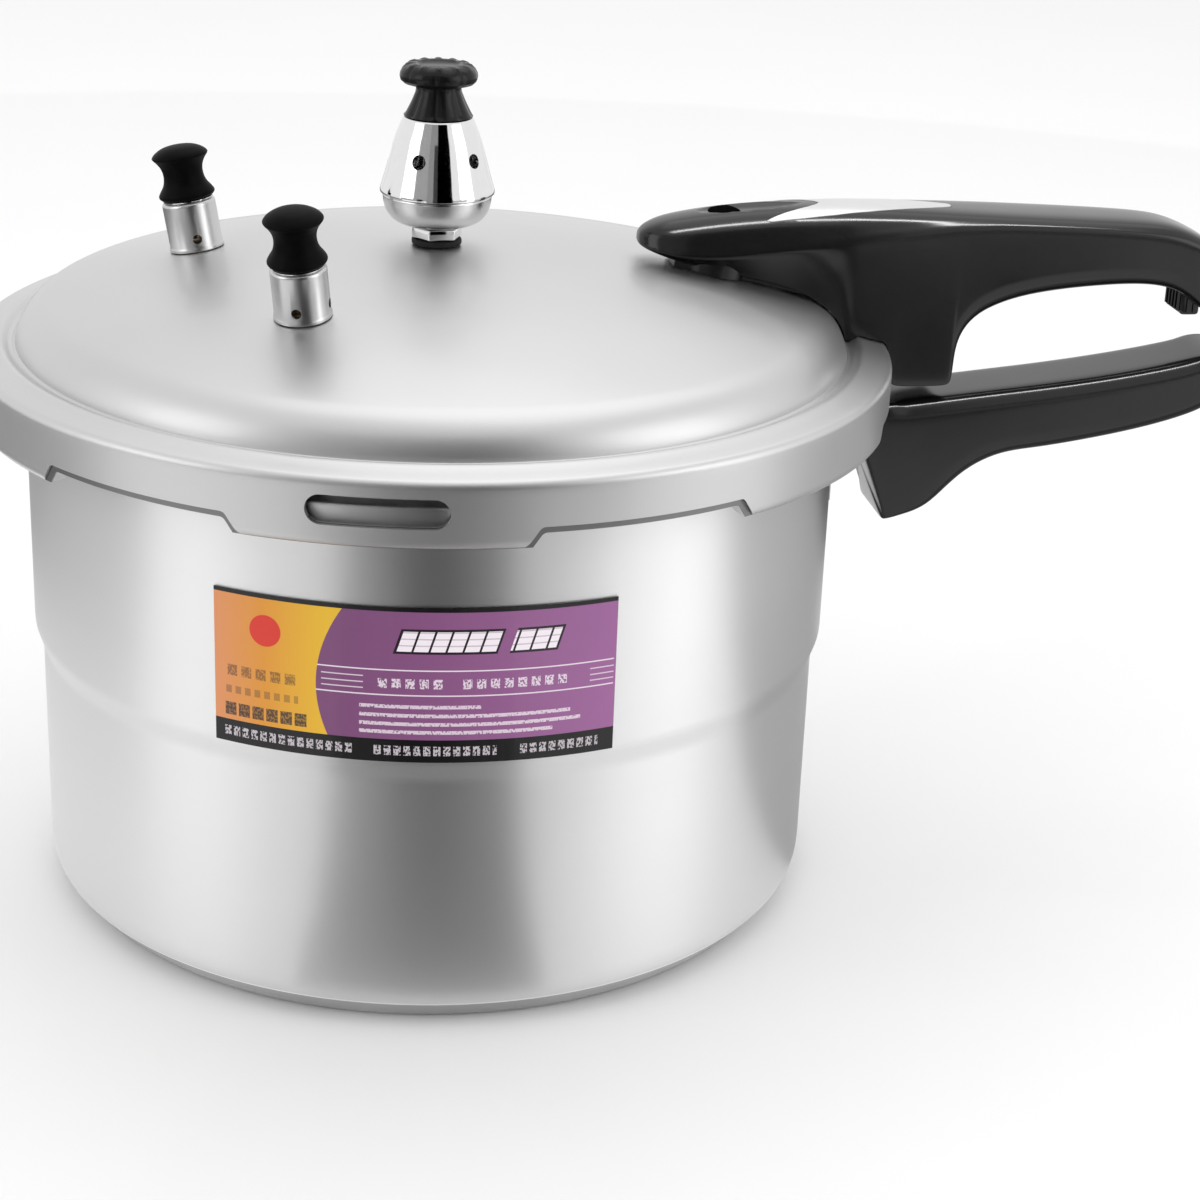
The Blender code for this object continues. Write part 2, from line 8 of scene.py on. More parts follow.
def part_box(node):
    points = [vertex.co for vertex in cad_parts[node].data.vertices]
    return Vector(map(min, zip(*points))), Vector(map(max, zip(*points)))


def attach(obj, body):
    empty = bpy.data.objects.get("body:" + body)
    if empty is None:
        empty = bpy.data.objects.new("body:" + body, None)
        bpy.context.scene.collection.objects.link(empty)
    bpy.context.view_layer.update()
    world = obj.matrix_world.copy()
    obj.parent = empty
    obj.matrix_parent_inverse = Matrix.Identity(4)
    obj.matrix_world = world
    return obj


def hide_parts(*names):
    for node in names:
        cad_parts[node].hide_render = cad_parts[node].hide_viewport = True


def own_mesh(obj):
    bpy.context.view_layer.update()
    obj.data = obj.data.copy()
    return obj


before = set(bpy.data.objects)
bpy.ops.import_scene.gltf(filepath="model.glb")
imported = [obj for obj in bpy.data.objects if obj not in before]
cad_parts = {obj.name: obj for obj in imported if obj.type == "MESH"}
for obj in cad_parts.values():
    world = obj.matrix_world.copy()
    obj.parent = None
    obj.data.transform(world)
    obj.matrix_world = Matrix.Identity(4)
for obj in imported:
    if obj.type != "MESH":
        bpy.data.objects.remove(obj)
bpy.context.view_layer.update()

MM = 0.001
MERGE = 0.02 * MM
SIDEWAYS = Matrix.Rotation(math.radians(90), 4, "Y")

# the lid's skirt in metres, the sheet's thickness in millimetres, and the lugs' places in degrees
SKIRT_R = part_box("lid_shell")[1].x
SHEET = 2.5
LUGS = 6
LUG_AZIMUTH = -101.6
LUG_PITCH = 60.0


# ---------------------------------------------------------------- modelling helpers

def deselect():
    if bpy.context.object and bpy.context.object.mode != "OBJECT":
        bpy.ops.object.mode_set(mode="OBJECT")
    bpy.ops.object.select_all(action="DESELECT")


def edit(obj):
    """Go into edit mode on one object with nothing selected."""
    deselect()
    bpy.context.view_layer.objects.active = obj
    obj.select_set(True)
    bpy.ops.object.mode_set(mode="EDIT")
    bpy.ops.mesh.select_all(action="DESELECT")


def apply_modifiers(obj):
    deselect()
    bpy.context.view_layer.objects.active = obj
    obj.select_set(True)
    for mod in list(obj.modifiers):
        bpy.ops.object.modifier_apply(modifier=mod.name)


def draw(name, points):
    """Draw a line of points in the XZ plane by extruding one vertex, and stay in edit mode."""
    deselect()
    bpy.ops.mesh.primitive_plane_add(size=MM)
    obj = bpy.context.object
    obj.name = name
    obj.data.name = name
    bpy.ops.object.mode_set(mode="EDIT")
    bpy.ops.mesh.merge(type="CENTER")
    bpy.ops.transform.translate(value=(points[0][0], 0, points[0][1]))
    for here, there in zip(points, points[1:]):
        step = (there[0] - here[0], 0, there[1] - here[1])
        bpy.ops.mesh.extrude_region_move(TRANSFORM_OT_translate={"value": step})
    return obj


def spin(name, outline, steps=96, closed=True, angle=360.0):
    """Turn an outline of (radius, height) points round the vertical axis, from the +X side."""
    obj = draw(name, outline + [outline[0]] if closed else outline)
    bpy.ops.mesh.select_all(action="SELECT")
    bpy.ops.mesh.remove_doubles(threshold=MERGE)
    bpy.ops.mesh.spin(steps=steps, angle=-math.radians(angle), center=(0, 0, 0), axis=(0, 0, 1))
    if angle < 360:
        bpy.ops.mesh.select_all(action="SELECT")
        bpy.ops.mesh.fill_holes(sides=0)
    tidy_mesh()
    return obj


def prism(name, outline, near, far):
    """A flat outline of (x, z) points made solid from y = near to y = far."""
    obj = draw(name, list(outline) + [outline[0]])
    bpy.ops.mesh.select_all(action="SELECT")
    bpy.ops.mesh.remove_doubles(threshold=MERGE)
    bpy.ops.mesh.edge_face_add()
    bpy.ops.mesh.select_all(action="SELECT")
    bpy.ops.transform.translate(value=(0, near, 0))
    bpy.ops.mesh.extrude_region_move(TRANSFORM_OT_translate={"value": (0, far - near, 0)})
    tidy_mesh()
    return obj


def raised(name, plan, low, high):
    """A plan outline of (x, y) points made solid between two heights."""
    return place(prism(name, plan, -high, -low), Matrix.Rotation(math.radians(-90), 4, "X"))


def grow(name, rings):
    """Grow a closed form by extruding one face from ring to ring."""
    count = len(rings[0])
    deselect()
    bpy.ops.mesh.primitive_circle_add(vertices=count, radius=MM, fill_type="NGON")
    obj = bpy.context.object
    obj.name = name
    obj.data.name = name
    bpy.ops.object.mode_set(mode="EDIT")
    bpy.ops.mesh.select_all(action="SELECT")
    bm = bmesh.from_edit_mesh(obj.data)
    for v, target in zip(bm.verts, rings[0]):
        v.co = target
    bmesh.update_edit_mesh(obj.data)
    for here, there in zip(rings, rings[1:]):
        bpy.ops.mesh.extrude_region_move(TRANSFORM_OT_translate={"value": (0, 0, 0)})
        bm = bmesh.from_edit_mesh(obj.data)
        face = next(f for f in bm.faces if f.select)
        for v in face.verts:
            nearest = min(range(count), key=lambda i: (v.co - Vector(here[i])).length)
            v.co = there[nearest]
        bmesh.update_edit_mesh(obj.data)
    tidy_mesh()
    return obj


def bevel(obj, width, segments=3, angle=40):
    mod = obj.modifiers.new("edges", "BEVEL")
    mod.width = width
    mod.segments = segments
    mod.limit_method = "ANGLE"
    mod.angle_limit = math.radians(angle)
    apply_modifiers(obj)


def soften(obj, levels=2):
    mod = obj.modifiers.new("soften", "SUBSURF")
    mod.levels = levels
    mod.render_levels = levels
    apply_modifiers(obj)


def mm(points):
    """Millimetres to metres."""
    return [tuple(value * MM for value in point) for point in points]


def tidy_mesh():
    """Close seams and poles, point the faces outwards and leave edit mode."""
    bpy.ops.mesh.select_all(action="SELECT")
    bpy.ops.mesh.remove_doubles(threshold=MERGE)
    bpy.ops.mesh.normals_make_consistent(inside=False)
    bpy.ops.object.mode_set(mode="OBJECT")


def arc(centre, radius, start, end, steps):
    points = []
    for i in range(steps + 1):
        a = math.radians(start + (end - start) * i / steps)
        points.append((centre[0] + radius * math.cos(a), centre[1] + radius * math.sin(a)))
    return points


def rounded(points, radius, steps=4):
    """A closed outline with every corner rounded; radius is one number or one for each corner."""
    count = len(points)
    out = []
    for i, corner in enumerate(points):
        r = radius[i] if isinstance(radius, (list, tuple)) else radius
        here = Vector(corner)
        back, on = Vector(points[i - 1]) - here, Vector(points[(i + 1) % count]) - here
        if r <= 0 or corner[0] == 0:
            out.append(tuple(here))
            continue
        half = back.angle(on) / 2
        reach = min(r / math.tan(half), 0.45 * back.length, 0.45 * on.length)
        a, b = here + back.normalized() * reach, here + on.normalized() * reach
        for k in range(steps + 1):
            t = k / steps
            point = a * (1 - t) ** 2 + here * 2 * t * (1 - t) + b * t ** 2
            out.append(tuple(point))
    return out


def cut_with(obj, cutter, operation="DIFFERENCE"):
    mod = obj.modifiers.new("cut", "BOOLEAN")
    mod.operation = operation
    mod.solver = "EXACT"
    mod.object = cutter
    apply_modifiers(obj)
    bpy.data.objects.remove(cutter)


def rod(name, radius, low, high, steps=32):
    """A plain closed rod on the vertical axis, for cutting holes."""
    return spin(name, [(0, low), (radius, low), (radius, high), (0, high)], steps, closed=False)


def place(obj, matrix):
    """Move a piece's mesh, so that its object stays at the origin."""
    obj.data.transform(matrix)
    if matrix.determinant() < 0:
        obj.data.flip_normals()
    return obj


def join(parts):
    """Join pieces into one object, which keeps the first one's name."""
    deselect()
    for part in parts:
        part.select_set(True)
    bpy.context.view_layer.objects.active = parts[0]
    bpy.ops.object.join()
    return bpy.context.object


def copy_of(obj, name):
    twin = obj.copy()
    twin.data = obj.data.copy()
    twin.name = name
    twin.data.name = name
    bpy.context.scene.collection.objects.link(twin)
    return twin


def finish_piece(obj, mat, body, nodes, angle=35):
    """Shade and colour a piece, hang it on its body and hide the imported parts it stands for."""
    deselect()
    bpy.context.view_layer.objects.active = obj
    obj.select_set(True)
    bpy.ops.object.shade_smooth_by_angle(angle=math.radians(angle))
    obj.data.materials.clear()
    obj.data.materials.append(mat)
    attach(obj, body)
    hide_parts(*nodes)
    return obj


# ---------------------------------------------------------------- materials

class Wire:
    """A shader socket with arithmetic, so that a pattern reads as a formula."""

    def __init__(self, finish, socket):
        self.finish = finish
        self.socket = socket

    def math(self, operation, *others, first=None):
        inputs = (first, self) if first is not None else (self, *others)
        return self.finish.node("ShaderNodeMath", {"operation": operation}, *inputs)

    def __add__(self, other):
        return self.math("ADD", other)

    __radd__ = __add__

    def __sub__(self, other):
        return self.math("SUBTRACT", other)

    def __rsub__(self, other):
        return self.math("SUBTRACT", first=other)

    def __mul__(self, other):
        return self.math("MULTIPLY", other)

    def __gt__(self, other):
        return self.math("GREATER_THAN", other)

    def __lt__(self, other):
        return self.math("LESS_THAN", other)

    def __pow__(self, other):
        return self.math("POWER", other)

    def __abs__(self):
        return self.math("ABSOLUTE")


class Finish:
    """One material and its nodes."""

    def __init__(self, name, colour, roughness, metallic=0.0, **constants):
        self.mat = bpy.data.materials.new(name)
        self.mat.use_nodes = True
        self.tree = self.mat.node_tree
        self.shader = self.tree.nodes["Principled BSDF"]
        self.set("Base Color", (*colour, 1.0))
        self.set("Roughness", roughness)
        self.set("Metallic", metallic)
        for socket, value in constants.items():
            self.set(socket.replace("_", " "), value)

    def set(self, name, value):
        """Give a shader socket a number or a wire."""
        socket = self.shader.inputs[name]
        if isinstance(value, Wire):
            self.tree.links.new(value.socket, socket)
        else:
            socket.default_value = value

    def node(self, kind, settings=None, *inputs, out=0, **named):
        made = self.tree.nodes.new(kind)
        for key, value in (settings or {}).items():
            if key == "stops":
                ramp = made.color_ramp
                ramp.elements.remove(ramp.elements[1])
                ramp.elements[0].position, ramp.elements[0].color = value[0]
                for position, colour in value[1:]:
                    ramp.elements.new(position).color = colour
            else:
                setattr(made, key, value)
        pairs = list(enumerate(inputs)) + [(k.replace("_", " "), v) for k, v in named.items()]
        for key, value in pairs:
            if value is None:
                continue
            if isinstance(value, Wire):
                self.tree.links.new(value.socket, made.inputs[key])
            else:
                made.inputs[key].default_value = value
        return Wire(self, made.outputs[out])

    def place(self):
        return self.node("ShaderNodeTexCoord", out="Object")

    def axes(self):
        """The three object coordinates in millimetres."""
        split = self.node("ShaderNodeSeparateXYZ", None, self.place()).socket.node
        return [Wire(self, out) * 1000 for out in split.outputs]

    def point(self, x, y, z):
        return self.node("ShaderNodeCombineXYZ", None, x, y, z)

    def noise(self, scale, at=None, detail=3.0, roughness=0.5):
        return self.node("ShaderNodeTexNoise", None, at or self.place(), Scale=scale, Detail=detail,
                         Roughness=roughness)

    def mix(self, amount, a, b):
        skipped = [None] * 5
        return self.node("ShaderNodeMix", {"data_type": "RGBA"}, amount, *skipped, a, b, out=2)

    def bump(self, height, strength, distance):
        bump = self.node("ShaderNodeBump", None, Height=height, Strength=strength, Distance=distance)
        self.set("Normal", bump)


def grey(value):
    return (value, value, value, 1.0)


def spun_aluminium(name, bright, rough, line_strength, aniso, foot=0.0):
    """Bare sheet aluminium with the fine rings that spinning and polishing leave. Round the outside, up to
    the foot height, it is rougher and darkened by painted shade, with a painted highlight line over that."""
    f = Finish(name, (bright, bright, bright), rough, 1.0, Anisotropic=aniso, Anisotropic_Rotation=0.25)
    x, y, z = f.axes()
    rings = f.noise(1.0, f.point(x * 0.006, y * 0.006, z * 2.6), detail=2.0)
    wide = f.noise(1.0, f.point(x * 0.003, y * 0.003, z * 0.16), detail=2.0)
    cloud = f.noise(26.0)
    tone = 0.93 + rings * 0.06 + wide * 0.04 + cloud * 0.03
    colour = f.mix(tone, grey(bright * 0.62), grey(bright))
    foot_r, crease = 110.0, 0.8
    outside = (x * x + y * y) > foot_r ** 2
    # up to the foot height: painted shade darkens the colour of the downward-facing foot, and the roughness
    # is raised
    rough_and_shaded_foot = (z < foot) * outside
    colour = f.mix(rough_and_shaded_foot * (0.5 + cloud * 0.4), colour, grey(bright * 0.42))
    # a painted highlight line just over the foot height, standing in for light caught on the crease
    colour = f.mix((z > foot) * (z < foot + crease) * outside, colour, grey(min(1.0, bright * 1.3)))
    f.set("Base Color", colour)
    f.set("Roughness", rough - 0.06 + rings * 0.08 + cloud * 0.06 + rough_and_shaded_foot * 0.1)
    f.bump(rings, line_strength, 0.0002)
    return f.mat


def satin_aluminium():
    """Blasted and lacquered lid metal: no direction, a very fine grain and faint handling marks."""
    f = Finish("satin_lid", (0.62, 0.62, 0.615), 0.40, 1.0, Coat_Weight=0.22, Coat_Roughness=0.10)
    grain = f.noise(2400.0, detail=2.0)
    cloud = f.noise(18.0)
    x, y, z = f.axes()
    around = x * x + y * y
    inner, outer, top = 136.6, HEM_R + 0.25, 160.0
    # painted shade: the hem's outer face under the skirt's edge is darkened, standing in for the shadow in
    # the gap
    painted_hem_shade = (around > inner ** 2) * (around < outer ** 2) * (z < top)
    f.set("Base Color", f.mix(painted_hem_shade * 0.75, f.mix(cloud, grey(0.60), grey(0.66)), grey(0.08)))
    f.set("Roughness", 0.36 + grain * 0.08 + cloud * 0.08)
    f.bump(grain, 0.10, 0.0001)
    return f.mat


def moulded_plastic(name, base, rough, shine):
    """Compression-moulded black plastic: gloss, a slight waviness and dust in the grain."""
    black = (base, base, base * 1.08)
    f = Finish(name, black, rough, 0.0, Specular_IOR_Level=shine)
    wave = f.noise(70.0, detail=2.0)
    dust = f.noise(900.0, detail=2.0)
    f.set("Base Color", f.mix(dust, (*black, 1), (base * 1.7, base * 1.7, base * 1.85, 1)))
    f.set("Roughness", rough - 0.05 + wave * 0.08 + dust * 0.04)
    f.bump(wave, 0.10, 0.0003)
    return f.mat


def bright_metal(name, value, rough, tint=(1, 1, 1)):
    """Plated or turned metal with faint tool marks."""
    colour = tuple(value * t for t in tint)
    f = Finish(name, colour, rough, 1.0)
    marks = f.noise(420.0, detail=3.0)
    f.set("Base Color", f.mix(marks, (*[c * 0.94 for c in colour], 1), (*colour, 1)))
    f.set("Roughness", rough + marks * 0.05)
    f.bump(marks, 0.04, 0.0001)
    return f.mat


def soft_rubber(name, colour, rough=0.6):
    f = Finish(name, colour, rough, 0.0, Specular_IOR_Level=0.15)
    grain = f.noise(1100.0)
    f.set("Base Color", f.mix(grain, (*colour, 1), (*[c * 1.5 + 0.004 for c in colour], 1)))
    f.set("Roughness", rough - 0.05 + grain * 0.12)
    f.bump(grain, 0.15, 0.0002)
    return f.mat


def printed_label():
    """Glossy paper label: an orange panel, a purple panel and plain bars where there would be lettering."""
    f = Finish("printed_label", (0.3, 0.1, 0.3), 0.3, 0.0, Specular_IOR_Level=0.3, Coat_Weight=0.25,
               Coat_Roughness=0.10)
    x, y, v = f.axes()
    turn = f.node("ShaderNodeMath", {"operation": "ARCTAN2"}, y, x)
    u = (turn + math.radians(LABEL_LEFT)) * (LABEL_R / MM)

    def box(left, right, low, high):
        return (u > left) * (u < right) * (v > low) * (v < high)

    def blocks(start, pitch, share, slant=0.0):
        """Evenly spaced blocks along the label."""
        at = (u - start + (v - 120.0) * slant) * (1.0 / pitch)
        return at.math("FRACT") < share

    grain = f.noise(1.0, f.point(u * 1.9, v * 1.2, 0.0), detail=2.0)
    specks = (grain > 0.47)
    panel_edge = abs(v - 107.0) ** 2.0 * 0.0145 + 30.0
    fade = u * (1.0 / 33.0)
    oranges = [(0.0, (0.66, 0.26, 0.11, 1)), (0.45, (0.66, 0.27, 0.03, 1)), (1.0, (0.72, 0.43, 0.02, 1))]
    warm = f.node("ShaderNodeValToRGB", {"stops": oranges}, fade)
    # the purple panel is print; its lightening towards the right end is a painted sheen, standing in for the
    # reflection there
    purples_and_sheen = [(0.0, (0.125, 0.038, 0.105, 1)), (1.0, (0.31, 0.115, 0.29, 1))]
    violet_and_sheen = f.node("ShaderNodeValToRGB", {"stops": purples_and_sheen}, u * (1.0 / 113.0))
    colour = f.mix(u > panel_edge, warm, violet_and_sheen)

    emblem = ((u - 15.5) ** 2.0 + (v - 120.0) ** 2.0) < 21.0
    colour = f.mix(emblem, colour, (0.62, 0.035, 0.02, 1))
    ink = box(4.0, 24.5, 105.2, 108.4) * blocks(4.0, 4.3, 0.7) * (specks * 0.4 + 0.25)
    ink = ink + box(3.5, 25.0, 100.0, 102.2) * blocks(3.5, 2.9, 0.6) * 0.45
    ink = ink + box(3.2, 28.0, 93.4, 97.2) * blocks(3.2, 4.15, 0.82) * (specks * 0.35 + 0.6)
    colour = f.mix(ink, colour, (0.05, 0.03, 0.02, 1))

    slant = 0.32
    shifted = u - (v - 121.0) * slant
    outline = (shifted > 52.2) * (shifted < 97.0) * (v > 117.2) * (v < 124.4)
    words = (shifted > 53.0) * (shifted < 96.3) * (v > 117.9) * (v < 123.7)
    gap = (shifted > 80.3) * (shifted < 83.6)
    colour = f.mix(outline * (1 - gap), colour, (0.02, 0.012, 0.02, 1))
    strokes = ((shifted - 53.0) * (1 / 4.55)).math("FRACT") < 0.86
    rows = ((v - 117.9) * (1 / 1.9)).math("FRACT") < 0.80
    white = words * strokes * (1 - gap) * (rows * 0.35 + 0.6)
    inside = u > panel_edge
    for height in (112.2, 104.9):
        white = white + inside * (u < 112.6) * (v > height) * (v < height + 0.38) * 0.75
    for height in (110.2, 108.4, 106.7):
        ends = box(31.5, 43.0, height, height + 0.34) + box(105.5, 112.6, height, height + 0.34)
        white = white + ends * inside * 0.6
    white = white + box(47.0, 65.5, 107.1, 109.9) * blocks(47.0, 3.75, 0.66) * specks * 0.7
    white = white + box(70.0, 99.5, 107.1, 109.9) * blocks(70.0, 3.75, 0.66) * specks * 0.7
    for height, right in ((101.2, 75.0), (98.6, 100.0), (96.1, 103.0), (93.7, 95.0)):
        white = white + box(42.0, right, height, height + 1.05) * (grain > 0.40) * 0.62
    band = v < 92.0
    edges = band + (v > 129.3)
    colour = f.mix(edges, colour, (0.006, 0.005, 0.006, 1))
    for left, right in ((3.0, 40.0), (46.0, 79.5), (86.0, 108.5)):
        white = white + box(left, right, 87.3, 90.1) * blocks(left, 2.7, 0.72) * specks * 0.55
    colour = f.mix(white, colour, (0.90, 0.82, 0.88, 1))
    f.set("Base Color", colour)
    creases = f.noise(1.0, f.point(u * 0.28, v * 0.03, 0.0), detail=2.0)
    f.set("Roughness", 0.24 + creases * 0.16)
    f.bump(creases, 0.25, 0.0006)
    return f.mat


def floor_paper():
    f = Finish("floor_paper", (0.93, 0.93, 0.93), 0.9)
    cloud = f.noise(5.0)
    f.set("Base Color", f.mix(cloud, grey(0.92), grey(0.94)))
    return f.mat


# ---------------------------------------------------------------- studio

def set_camera():
    data = bpy.data.cameras.new("camera")
    data.lens = 77.8
    data.sensor_width = 36
    camera = bpy.data.objects.new("camera", data)
    bpy.context.scene.collection.objects.link(camera)
    yaw, pitch, roll = 0.1745, 0.3766, 0.040
    aim = Matrix.Rotation(-yaw, 4, "Z") @ Matrix.Rotation(math.radians(90) - pitch, 4, "X")
    stand = Matrix.Translation((-0.0798, -0.75935, 0.3876))
    camera.matrix_world = stand @ aim @ Matrix.Rotation(roll, 4, "Z")
    bpy.context.scene.camera = camera


def lamp(name, azimuth, distance, height, size, power, aim_height=0.1):
    """A soft box that stands round the object and faces it."""
    data = bpy.data.lights.new(name, "AREA")
    data.shape = "RECTANGLE"
    data.size, data.size_y = size
    data.energy = power
    light = bpy.data.objects.new(name, data)
    bpy.context.scene.collection.objects.link(light)
    a = math.radians(azimuth)
    light.location = (distance * math.cos(a), distance * math.sin(a), height)
    aim = Vector((0, 0, aim_height)) - light.location
    light.rotation_euler = aim.to_track_quat("-Z", "Y").to_euler()
    return light


def flag(name, azimuth, half_angle, outline, shade):
    """A curved card that only reflections see, from its (radius, height) outline."""
    obj = draw(name, outline)
    bpy.ops.mesh.select_all(action="SELECT")
    bpy.ops.mesh.spin(steps=12, angle=-math.radians(2 * half_angle), center=(0, 0, 0), axis=(0, 0, 1))
    bpy.ops.object.mode_set(mode="OBJECT")
    place(obj, Matrix.Rotation(math.radians(azimuth - half_angle), 4, "Z"))
    card = Finish(name, (shade, shade, shade), 0.9, 0.0, Specular_IOR_Level=0.0)
    obj.data.materials.append(card.mat)
    obj.visible_camera = False
    obj.visible_shadow = False
    obj.visible_diffuse = False


def set_studio():
    world = bpy.data.worlds.new("studio")
    bpy.context.scene.world = world
    world.use_nodes = True
    sky = world.node_tree.nodes["Background"]
    sky.inputs["Color"].default_value = grey(1.0)
    sky.inputs["Strength"].default_value = 0.95

    deselect()
    bpy.ops.mesh.primitive_grid_add(x_subdivisions=8, y_subdivisions=8, size=12)
    floor = bpy.context.object
    floor.name = "floor"
    floor.location.z = -0.0005
    floor.data.materials.append(floor_paper())

    lamp("left_box", -160, 1.3, 0.45, (0.7, 1.3), 3.3)
    lamp("right_box", -32, 1.3, 0.45, (0.7, 1.3), 3.6)
    lamp("top_box", 60, 0.5, 1.6, (1.4, 1.4), 4.5)
    strip = lamp("ridge_strip", -75, 0.45, 1.5, (1.3, 0.15), 20.0)
    flag("front_flag", -97, 20, [(0.135, 0.002), (0.75, 0.002), (0.75, 1.0)], 0.27)
    flag("front_core", -97, 7.5, [(0.24, 0.003), (0.74, 0.003), (0.74, 0.55)], 0.05)
    flag("stripe_flag", -80.5, 15.5, [(0.70, 0.004), (0.72, 0.004), (0.72, 1.0)], 0.0)
    flag("grey_flag", -131, 14, [(0.72, 0.16), (0.72, 0.95)], 0.35)
    flag("low_flag_left", -150, 22, [(0.85, 0.05), (0.85, 0.26)], 0.35)
    flag("low_flag_right", -50, 15, [(0.85, 0.05), (0.85, 0.26)], 0.45)
    flag("handle_flag", -60, 7, [(0.52, 0.002), (0.85, 0.002)], 0.08)
    flag("back_flag", 84, 56, [(0.34, 0.002), (1.3, 0.002)], 0.20)
    flag("side_flag_left", -196, 26, [(0.34, 0.002), (1.3, 0.002)], 0.22)
    flag("side_flag_right", 8, 24, [(0.122, 0.002), (1.3, 0.002)], 0.33)
    bpy.context.scene.view_settings.view_transform = "Standard"
    return strip


# ---------------------------------------------------------------- pot

WALL_R = 122.5
TOOTH_SWEEP = 25.0
LABEL_R = 0.1229
LABEL_LEFT = 124.5
LABEL_WIDTH = 52.8


def make_pot(metal):
    inside = WALL_R - SHEET
    outer = [(111.0, 0.0), (112.0, 0.2), (112.9, 0.8), (115.6, 3.8), (117.9, 6.5), (118.5, 7.0), (119.0, 7.6)]
    outer += [(119.5, 8.7), (119.9, 10.3), (120.1, 12.2), (120.2, 14.5), (120.2, 30.0), (120.2, 60.0),
              (120.2, 77.0), (120.3, 78.6), (120.8, 80.2), (121.9, 83.4), (122.4, 85.0)]
    outer += [(WALL_R, 86.8), (WALL_R, 120.0), (WALL_R, 156.5), (122.7, 158.4), (123.6, 160.2),
              (125.4, 161.4)]
    outer += arc((127.0, 163.4), 2.0, -80, 0, 5) + arc((127.0, 164.5), 2.0, 0, 90, 5)
    inner = [(123.0, 166.5)] + arc((121.8, 164.7), 1.8, 90, 180, 5) + [(inside, 120.0), (inside, 87.4)]
    inner += [(119.8, 86.0), (118.4, 83.0), (117.8, 81.2), (117.7, 79.0), (117.7, 40.0), (117.7, 13.0)]
    inner += arc((108.2, 13.0), 9.5, 0, -90, 10)[1:] + [(60.0, 3.5), (0.0, 3.5)]
    base = [(0.0, 1.2), (60.0, 1.1), (104.0, 0.9), (106.5, 0.3), (108.5, 0.0)]
    outline = base + outer + inner
    pot = spin("pot", mm(outline), 160, closed=False)
    tooth = rounded([(127.0, 156.2), (134.5, 156.2), (134.5, 163.0), (127.0, 163.0)], [0, 1.3, 1.0, 0], 4)
    for i in range(LUGS):
        block = spin("tooth", mm(tooth), 16, angle=TOOTH_SWEEP)
        bevel(block, 0.9 * MM, 3, 60)
        turn = LUG_AZIMUTH + LUG_PITCH * i - TOOTH_SWEEP / 2
        place(block, Matrix.Rotation(math.radians(turn), 4, "Z"))
        cut_with(pot, block, "UNION")
    return finish_piece(pot, metal, "pot", ["pot_body"])


def make_label():
    """A sheet of glossy paper stuck on the wall."""
    low, high = 85.3, 130.5
    inner, outer = LABEL_R / MM - 0.08, LABEL_R / MM + 0.06
    outline = [(inner, low), (outer, low), (outer, high), (inner, high)]
    label = spin("label", mm(outline), 48, angle=LABEL_WIDTH)
    place(label, Matrix.Rotation(math.radians(-LABEL_LEFT), 4, "Z"))
    return finish_piece(label, printed_label(), "pot", ["pot_label"])


# ---------------------------------------------------------------- lid

DOME_R = 430.0
CAP_R = 113.7
SHOULDER = 15.5
LID_TOP_MM = 199.0


def dome_height(r):
    return LID_TOP_MM - DOME_R + math.sqrt(DOME_R ** 2 - r ** 2)


def dome_frame(r, azimuth):
    """Where a fitting stands on the dome, with its Z axis square to the dome."""
    turn = Matrix.Rotation(math.radians(azimuth), 4, "Z")
    lean = Matrix.Rotation(math.asin(r / DOME_R), 4, "Y")
    return turn @ Matrix.Translation((r * MM, 0, dome_height(r) * MM)) @ lean


# where the dome meets its rounded shoulder, and the middles of both curves
LEAN = math.degrees(math.asin(CAP_R / DOME_R))
HUB = (CAP_R - SHOULDER * CAP_R / DOME_R, dome_height(CAP_R) - SHOULDER * math.cos(math.radians(LEAN)))
MIDDLE = (0, LID_TOP_MM - DOME_R)

# the hem inside the skirt, and how much lower it ends between the lugs
HEM_R = 137.3
HEM_DROP = 2.0

# the fittings' places on the dome, as radius and azimuth, and the radius of each one's hole
RELIEF_A = (73.9, 163.0)
RELIEF_B = (71.8, -126.7)
FLOAT_AT = (85.0, 0.0)
SCREW_FRONT = (99.0, 0.0)
SCREW_REAR = (110.0, 0.0)
FITTINGS = [(3.8, RELIEF_A), (3.8, RELIEF_B), (4.3, FLOAT_AT), (2.1, SCREW_FRONT), (2.1, SCREW_REAR)]


def lid_outside():
    """The lid's outer outline from the top of the shoulder down to the skirt."""
    outline = arc(HUB, SHOULDER, 90 - LEAN, 12, 16)
    outline += [(125.1, 171.9), (125.6, 171.5), (126.3, 171.5), (127.1, 171.9), (128.2, 172.7)]
    outline += [(129.1, 173.1), (129.9, 173.1), (130.8, 172.8), (132.2, 172.3), (134.0, 171.9),
                (135.6, 171.5)]
    outline += arc((136.1, 168.9), 2.4, 78, 0, 7)
    return outline + [(SKIRT_R / MM, 167.0), (SKIRT_R / MM, 160.0), (SKIRT_R / MM, 155.4)]


def lid_form(clearance):
    """A solid with the lid's outer shape and some room round it, for cutting what sits on the lid."""
    dome = arc(MIDDLE, DOME_R + clearance, 90, 90 - LEAN, 24)
    outside = [(r + clearance, z + clearance) for r, z in lid_outside()[1:]]
    below = [(SKIRT_R / MM + clearance, 150.0), (0.0, 150.0)]
    return spin("lid_form", mm(dome + outside + below), 144, closed=False)


